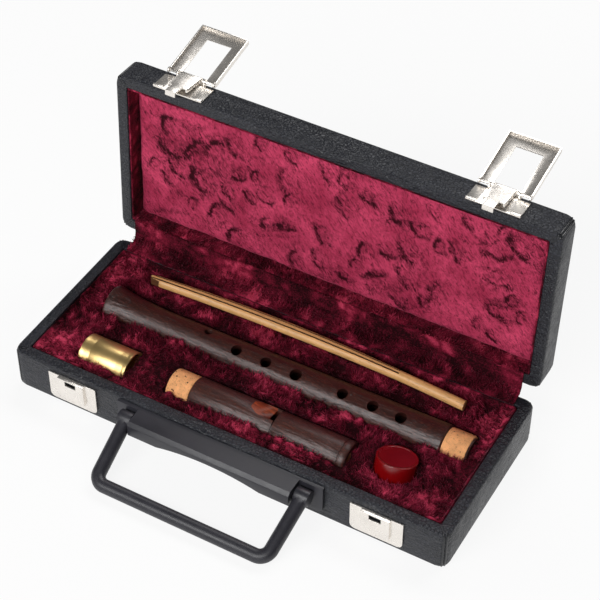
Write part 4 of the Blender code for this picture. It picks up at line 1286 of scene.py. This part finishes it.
def body_outline():
    """The body from its foot to its shoulder and tenon, as (x, radius) points."""
    left = body_low.x
    points = eased_end(left, foot_radius)
    flare_start = left + end_ease
    for step in range(1, 25):
        t = step / 24
        points.append((flare_start + flare_length * t,
                       waist_radius + (foot_radius - waist_radius) * (1 - t) ** flare_curve))
    flared = flare_start + flare_length
    shoulder = left + body_length
    for step in range(1, 9):
        t = step / 8
        points.append((flared + (shoulder - end_ease - flared) * t,
                       waist_radius + (shoulder_radius - waist_radius) * t))
    points += [(shoulder - ease_start, shoulder_radius - ease_drop),
               (shoulder, shoulder_radius - ease_full_drop), (shoulder, tenon_radius)]
    end = shoulder + tenon_length
    return points + [(end - tenon_ease, tenon_radius), (end, tenon_radius - tenon_ease), (end, body_bore),
                     (left + bore_mouth_depth, body_bore), (left, body_bore + bore_mouth)]


def eased_end(x, radius):
    """The rounded left end of a joint."""
    return [(x, radius - ease_full_drop), (x + ease_start, radius - ease_drop), (x + end_ease, radius)]


class MakeBody(MakingStep, bpy.types.Operator):
    """Turn the body joint, bore it and drill its finger holes"""
    bl_idname = "recorder.make_body"
    bl_label = "Body Joint"

    def make(self, scene):
        line = line_of("recorder_body")
        y, z = line
        body = turned("body_joint", body_outline(), line, closed=True)
        top = z + foot_radius + MM

        def drill(hole, bottom, end):
            place, radius = hole
            x = body_low.x + place * MM
            return peg("drill", (x, y, bottom), (x, y, end), radius * MM)

        drills = [drill(hole, z, top) for hole in front_holes]
        drills.append(rolled(drill(little_hole, z, top), line, little_hole_turn))
        drills.append(drill(thumb_hole, z - foot_radius - MM, z))
        cut(body, *drills)
        # The walls of the finger holes take the painted shade.
        painted(body, "dark_wood", "painted_recess_shade")
        for face in body.data.polygons:
            middle = face.center
            for place, radius in front_holes:
                aside = Vector((middle.x - body_low.x - place * MM, middle.y - y, 0.0)).length
                if aside < (radius + 0.05) * MM and middle.z > z + body_bore + 0.2 * MM:
                    face.material_index = 1
        eased_edges(body, 0.3 * MM, 2, 50)
        rolled(body, line, body_roll)
        seat(smooth(body, 45), "recorder_body", "dark_wood", "recorder_body")
        seat(cork_ring("body_tenon_cork", "body_cork"), "recorder_body", "cork", "body_cork")


def cork_ring(name, node):
    """A cork turned in place, slightly full in the middle and rubbed at its ends."""
    low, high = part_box(node)
    line = line_of(node)
    inner = tenon_radius + 0.1 * MM
    length = high.x - low.x
    outline = [(low.x, inner), (low.x, cork_radius - 0.35 * MM), (low.x + 0.5 * MM, cork_radius - 0.05 * MM)]
    outline += [(low.x + length * t, cork_radius) for t in (0.2, 0.5, 0.8)]
    outline += [(high.x - 0.5 * MM, cork_radius - 0.1 * MM), (high.x, cork_radius - 0.45 * MM)]
    outline.append((high.x, inner))
    ring = turned(name, outline, line, closed=True)
    for vert in ring.data.vertices:
        out = Vector((0.0, vert.co.y - line[0], vert.co.z - line[1]))
        if out.length > inner + 0.3 * MM:
            vert.co += out.normalized() * noise.noise(vert.co / (2.2 * MM)) * 0.07 * MM
    return smooth(ring, 50)


def ramp_cutter(labium, line):
    """The sloping cut from the labium's edge up to the head's surface, narrowing as it rises."""
    y, z = line
    top = z + head_radius + MM
    rise = (head_radius - ramp_floor) / ramp_length
    run_out = (top - z - ramp_floor) / rise
    half = window_width / 2
    cutter = block("ramp", (labium - run_out, y - half, z + ramp_floor),
                   (labium + 0.3 * MM, y + half, top + MM))
    narrowing = ((0.0, 1.0), (0.6 * ramp_length, 1.0), (0.9 * ramp_length, 0.62), (run_out, 0.2))
    cut_across(cutter, 0, [labium - back for back, _ in narrowing[1:-1]])
    for vert in cutter.data.vertices:
        back = labium - vert.co.x
        for (near, wide), (far, narrow) in zip(narrowing, narrowing[1:]):
            if near - 1e-6 <= back <= far + 1e-6:
                vert.co.y = y + (vert.co.y - y) * (wide + (narrow - wide) * (back - near) / (far - near))
                break
        if vert.co.z < z + ramp_floor + 0.1 * MM:
            vert.co.z += back * rise
    return cutter


class MakeHead(MakingStep, bpy.types.Operator):
    """Turn the head joint, cut its window, labium and beak, and fit its block"""
    bl_idname = "recorder.make_head"
    bl_label = "Head Joint"

    def make(self, scene):
        low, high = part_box("recorder_head")
        right = high.x
        left = right - head_length
        line = line_of("recorder_head")
        y, z = line
        labium = left + labium_place
        face = labium + cut_up
        tenon_end = left - tenon_length
        groove = head_radius - groove_depth
        outline = [(tenon_end, head_bore), (tenon_end, tenon_radius - tenon_ease),
                   (tenon_end + tenon_ease, tenon_radius), (left, tenon_radius)]
        outline += eased_end(left, head_radius)
        outline += [(left + 0.5 * labium_place, head_radius), (face, head_radius)]
        outline += [(face + 0.1 * MM, groove), (face + groove_width - 0.1 * MM, groove),
                    (face + groove_width, head_radius), (right - 22 * MM, head_radius)]
        ring = right - mouth_ring_place
        outline += [(ring, head_radius), (ring + 0.2 * MM, head_radius - mouth_ring_depth),
                    (ring + 0.6 * MM, head_radius - mouth_ring_depth), (ring + 0.8 * MM, head_radius)]
        outline += [(right - mouth_chamfer, head_radius), (right, head_radius - mouth_chamfer),
                    (right, head_bore)]
        head = turned("head_joint", outline, line, closed=True)
        half = window_width / 2
        level = z - beak_under - beak_radius
        beak = right + beak_past_end
        wide = head_radius + MM
        scoop = [peg("scoop", (beak, y - wide, level), (beak, y + wide, level), beak_radius, 160)
                 for _ in range(2)]
        window = block("window", (labium, y - half, z),
                       (face + groove_width / 2, y + half, z + head_radius + MM))
        cut(head, window, ramp_cutter(labium, line), scoop[0])
        painted(head, "dark_wood", "labium_wood", "painted_recess_shade")
        for face_of in head.data.polygons:
            middle = face_of.center
            from_line = Vector((0, middle.y - y, middle.z - z)).length
            cut_in = (from_line < head_radius - 0.25 * MM and abs(middle.y - y) <= half + 0.1 * MM
                      and middle.z > z + ramp_floor - 2.2 * MM)
            face_of.material_index = int(cut_in and labium - 1.3 * ramp_length < middle.x < labium + 0.2 * MM)
            # The groove's walls take the painted shade.
            if face < middle.x < face + groove_width and head_bore + MM < from_line < head_radius - 0.05 * MM:
                face_of.material_index = 2
        eased_edges(head, 0.18 * MM, 2, 50)
        rolled(head, line, head_roll)
        seat(smooth(head, 45), "recorder_head", "dark_wood", "recorder_head")
        seat(cork_ring("head_tenon_cork", "head_cork"), "recorder_head", "cork", "head_cork")
        radius = head_bore - 0.3 * MM
        block_outline = [(face, 0.0), (face, radius), (right - 0.3 * MM, radius), (right - 0.3 * MM, 0.0)]
        plug = turned("cedar_block", rounded(block_outline, 0.3 * MM), line)
        flat = block("flat", (face - MM, y - head_bore, z + block_flat),
                     (right + MM, y + head_bore, z + head_radius))
        cut(plug, flat, scoop[1])
        eased_edges(plug, 0.15 * MM, 2, 50)
        rolled(plug, line, head_roll)
        seat(smooth(plug, 45), "recorder_head", "cedar", "head_block")


# Small things in the bed

class MakeSleeve(MakingStep, bpy.types.Operator):
    """Turn the thin brass sleeve with a band of fine lines near each end"""
    bl_idname = "recorder.make_sleeve"
    bl_label = "Joining Sleeve"

    def make(self, scene):
        low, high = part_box("joining_sleeve")
        outer = (high.z - low.z) / 2
        inner = outer - sleeve_wall
        outline = [(low.x, inner), (low.x, outer - 0.3 * MM), (low.x + 0.3 * MM, outer)]
        for first in (low.x + band_from_end, high.x - band_from_end - band_width):
            pitch = band_width / band_lines
            for number in range(band_lines):
                at = first + number * pitch
                outline += [(at, outer), (at + 0.3 * pitch, outer - band_line_depth),
                            (at + 0.6 * pitch, outer - band_line_depth)]
            outline.append((first + band_width, outer))
        outline += [(high.x - 0.3 * MM, outer), (high.x, outer - 0.3 * MM), (high.x, inner)]
        sleeve = smooth(turned("brass_sleeve", outline, line_of("joining_sleeve"), 128, closed=True), 40)
        seat(sleeve, "joining_sleeve", "brass", "joining_sleeve")


class MakeRod(MakingStep, bpy.types.Operator):
    """Turn the cleaning rod, bow it and saw its slits"""
    bl_idname = "recorder.make_rod"
    bl_label = "Cleaning Rod"

    def make(self, scene):
        low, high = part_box("cleaning_rod")
        length = high.x - low.x
        y = low.y + rod_radius
        z = (low.z + high.z) / 2

        def run(x):
            """How far the rod's line is bowed at a place, and its half width there."""
            t = (x - low.x) / length
            slatted = clamped(t * length / slit_length)
            return rod_bow * (1 - (2 * t - 1) ** 2), rod_radius + (rod_belly - rod_radius) * sin(pi * slatted)

        steps = 48
        outline = [(low.x, 0.0)] + [(low.x + length * step / steps, rod_radius) for step in range(steps + 1)]
        rod = turned("slit_rod", outline + [(high.x, 0.0)], (0.0, z), SMALL_ROUND)
        for vert in rod.data.vertices:
            bow, wide = run(vert.co.x)
            vert.co.y = y + bow + vert.co.y * wide / rod_radius
        saws = []
        for share in (-slit_place, slit_place):
            saw = block("saw", (low.x - MM, -slit_width / 2, z - 2 * rod_radius),
                        (low.x + slit_length, slit_width / 2, z + 2 * rod_radius))
            cut_across(saw, 0, [low.x + slit_length * step / 40 for step in range(1, 40)])
            for vert in saw.data.vertices:
                bow, wide = run(vert.co.x)
                vert.co.y = y + bow + share * wide + vert.co.y
            saws.append(saw)
        for hand, short in ((-1, 6.0 * MM), (1, 2.5 * MM)):
            beyond = slit_place * rod_radius + slit_width / 2
            sides = sorted((hand * beyond, hand * 3 * rod_radius))
            saws.append(block("stagger", (low.x - MM, y + sides[0], low.z - MM),
                              (low.x + short, y + sides[1], high.z + MM)))
        cut(rod, *saws)
        # The slit walls take the painted shade.
        painted(rod, "light_wood", "painted_slit_shade")
        for face in rod.data.polygons:
            middle = face.center
            bow, wide = run(middle.x)
            from_slit = abs(abs(middle.y - y - bow) - slit_place * wide)
            face.material_index = int(abs(face.normal.y) > 0.9 and from_slit < slit_width)
        eased_edges(rod, 0.2 * MM, 2, 50)
        seat(smooth(rod, 45), "cleaning_rod", "light_wood", "cleaning_rod")


class MakePot(MakingStep, bpy.types.Operator):
    """Turn the leaning grease pot and the dished cap over it"""
    bl_idname = "recorder.make_pot"
    bl_label = "Grease Pot"

    def make(self, scene):
        upright = Matrix.Rotation(-pi / 2, 4, "Y")
        placing = Matrix.Translation(pot_foot) @ Matrix.Rotation(-pot_lean, 4, "X") @ upright
        inside = pot_radius - pot_wall
        outline = [(0.0, 0.0), (0.0, pot_radius), (pot_height, pot_radius), (pot_height, inside),
                   (1.3 * MM, inside), (1.3 * MM, 0.0)]
        pot = turned("grease_cup", rounded(outline, 0.6 * MM), (0.0, 0.0))
        pot.data.transform(placing)
        seat(smooth(pot, 45), "grease_pot", "red_plastic", "grease_pot")
        top = pot_height + 0.3 * MM + cap_top
        bottom = top - cap_height
        hollow = cap_radius - cap_wall
        dish = top - cap_dish
        outline = [(top - cap_top, 0.0), (top - cap_top, hollow), (bottom, hollow), (bottom, cap_radius),
                   (top, cap_radius), (top, cap_radius - cap_rim), (dish, cap_radius - 1.5 * cap_rim),
                   (dish, 0.0)]
        cap = turned("grease_cap", rounded(outline, 0.55 * MM), (0.0, 0.0))
        cap.data.transform(placing)
        seat(smooth(cap, 45), "grease_lid", "red_plastic", "grease_lid")


# Stage

camera_place = Vector((0.3585, -0.6012, 0.7585))
camera_yaw = radians(-29.509)
camera_pitch = radians(43.952)
camera_roll = radians(0.194)
focal_pixels = 1841.4
picture_width = 600.0
sensor_width = 36.0
floor_size = 9.0
floor_drop = 0.05 * MM
floor_white = 0.88
front_light = ((-0.25, -1.75, 1.35), (1.8, 0.9))
back_light = ((0.1, 1.5, 1.9), (2.2, 0.9))


def camera_turn():
    """The camera's axes from its yaw, its pitch below the horizon and its roll."""
    level = Vector((cos(camera_yaw), -sin(camera_yaw), 0.0))
    onward = Vector((sin(camera_yaw), cos(camera_yaw), 0.0))
    ahead = onward * cos(camera_pitch) - Vector((0.0, 0.0, sin(camera_pitch)))
    upright = level.cross(ahead)
    right = level * cos(camera_roll) + upright * sin(camera_roll)
    up = upright * cos(camera_roll) - level * sin(camera_roll)
    return Matrix((right, up, -ahead)).transposed()


def soft_light(name, place, size, power):
    data = bpy.data.lights.new(name, "AREA")
    data.shape = "RECTANGLE"
    data.size, data.size_y = size
    data.energy = power
    lamp = bpy.data.objects.new(name, data)
    lamp.location = place
    lamp.rotation_euler = (-Vector(place)).to_track_quat("-Z", "Y").to_euler()
    bpy.context.scene.collection.objects.link(lamp)


def white_where_seen(make):
    """One where the camera, a reflection or a view through something meets the background."""
    path = make.add("LightPath").outputs
    mirrored = make.larger(path["Is Glossy Ray"], path["Is Transmission Ray"])
    return make.larger(path["Is Camera Ray"], mirrored)


class MakeStage(bpy.types.Operator):
    """Lay the white floor, hang the soft lights and set the camera"""
    bl_idname = "recorder.make_stage"
    bl_label = "Floor, Lights and Camera"

    def execute(self, context):
        looks = context.scene.stage_looks
        floor = start("plane", "floor", size=floor_size, location=(0, 0, -floor_drop))
        material = bpy.data.materials.new("white_floor")
        material.use_nodes = True
        make = Nodes(material.node_tree)
        shader = material.node_tree.nodes["Principled BSDF"]
        cloud = make.noise(make.place(), 3.0, 2.0)
        make.paint("Base Color", make.blend(cloud, (0.86, 0.86, 0.86), (0.9, 0.9, 0.9)))
        make.paint("Roughness", 0.7)
        glow = make.add("Emission", Color=(1.0, 1.0, 1.0), Strength=1.0)
        seen = white_where_seen(make)
        mixed = make.add("MixShader")
        make.put(mixed.inputs[0], make.times(seen, floor_white))
        make.put(mixed.inputs[1], shader.outputs[0])
        make.put(mixed.inputs[2], glow.outputs[0])
        make.put(material.node_tree.nodes["Material Output"].inputs["Surface"], mixed.outputs[0])
        floor.data.materials.append(material)
        self.make_sky(context.scene, looks)
        soft_light("front_light", *front_light, looks.front_power)
        soft_light("back_light", *back_light, looks.back_power)
        data = bpy.data.cameras.new("camera")
        data.sensor_width = sensor_width
        data.lens = focal_pixels * sensor_width / picture_width
        camera = bpy.data.objects.new("camera", data)
        camera.matrix_world = Matrix.Translation(camera_place) @ camera_turn().to_4x4()
        context.scene.collection.objects.link(camera)
        context.scene.camera = camera
        context.scene.view_settings.view_transform = "Standard"
        return {"FINISHED"}

    def make_sky(self, scene, looks):
        """White to the camera; as a light, brighter round the horizon than overhead."""
        world = bpy.data.worlds.new("studio")
        scene.world = world
        world.use_nodes = True
        make = Nodes(world.node_tree)
        background = world.node_tree.nodes["Background"]
        height = make.add("SeparateXYZ", Vector=make.add("TexCoord").outputs["Generated"]).outputs["Z"]
        dim = make.spread(height, 0.55, 0.9, 1.0, 0.3)
        lit = make.times(dim, looks.sky)
        make.put(background.inputs["Strength"], make.larger(lit, white_where_seen(make)))


classes = (CaseLooks, PlushLooks, SmallLooks, StageLooks, MakeStage, MakeCovers, MakeHinges, MakeLatches,
           MakeHandle, MakeBody, MakeHead, MakeSleeve, MakeRod, MakePot, MakeBed, MakeLidLining, MakeHingeWeb)
looks_of_scene = (("case_looks", CaseLooks), ("plush_looks", PlushLooks), ("small_looks", SmallLooks),
                  ("stage_looks", StageLooks))


class RecorderPanel(bpy.types.Panel):
    """Lists the steps that make the cased recorder"""
    bl_idname = "VIEW3D_PT_recorder"
    bl_label = "Cased Recorder"
    bl_space_type = "VIEW_3D"
    bl_region_type = "UI"
    bl_category = "Recorder"

    def draw(self, context):
        for name, kind in looks_of_scene:
            box = self.layout.box()
            for key in kind.__annotations__:
                box.prop(getattr(context.scene, name), key)
        for step in classes:
            if issubclass(step, bpy.types.Operator):
                self.layout.operator(step.bl_idname)


def register():
    for kind in classes + (RecorderPanel,):
        bpy.utils.register_class(kind)
    for name, kind in looks_of_scene:
        setattr(bpy.types.Scene, name, bpy.props.PointerProperty(type=kind))


def unregister():
    for name, kind in looks_of_scene:
        delattr(bpy.types.Scene, name)
    for kind in reversed(classes + (RecorderPanel,)):
        bpy.utils.unregister_class(kind)


def main():
    register()
    for step in classes:
        if issubclass(step, bpy.types.Operator):
            call = getattr(bpy.ops.recorder, step.bl_idname.split(".")[1])
            if call() != {"FINISHED"}:
                raise RuntimeError(step.bl_label + " could not finish")
    settle()


if __name__ == "__main__":
    main()
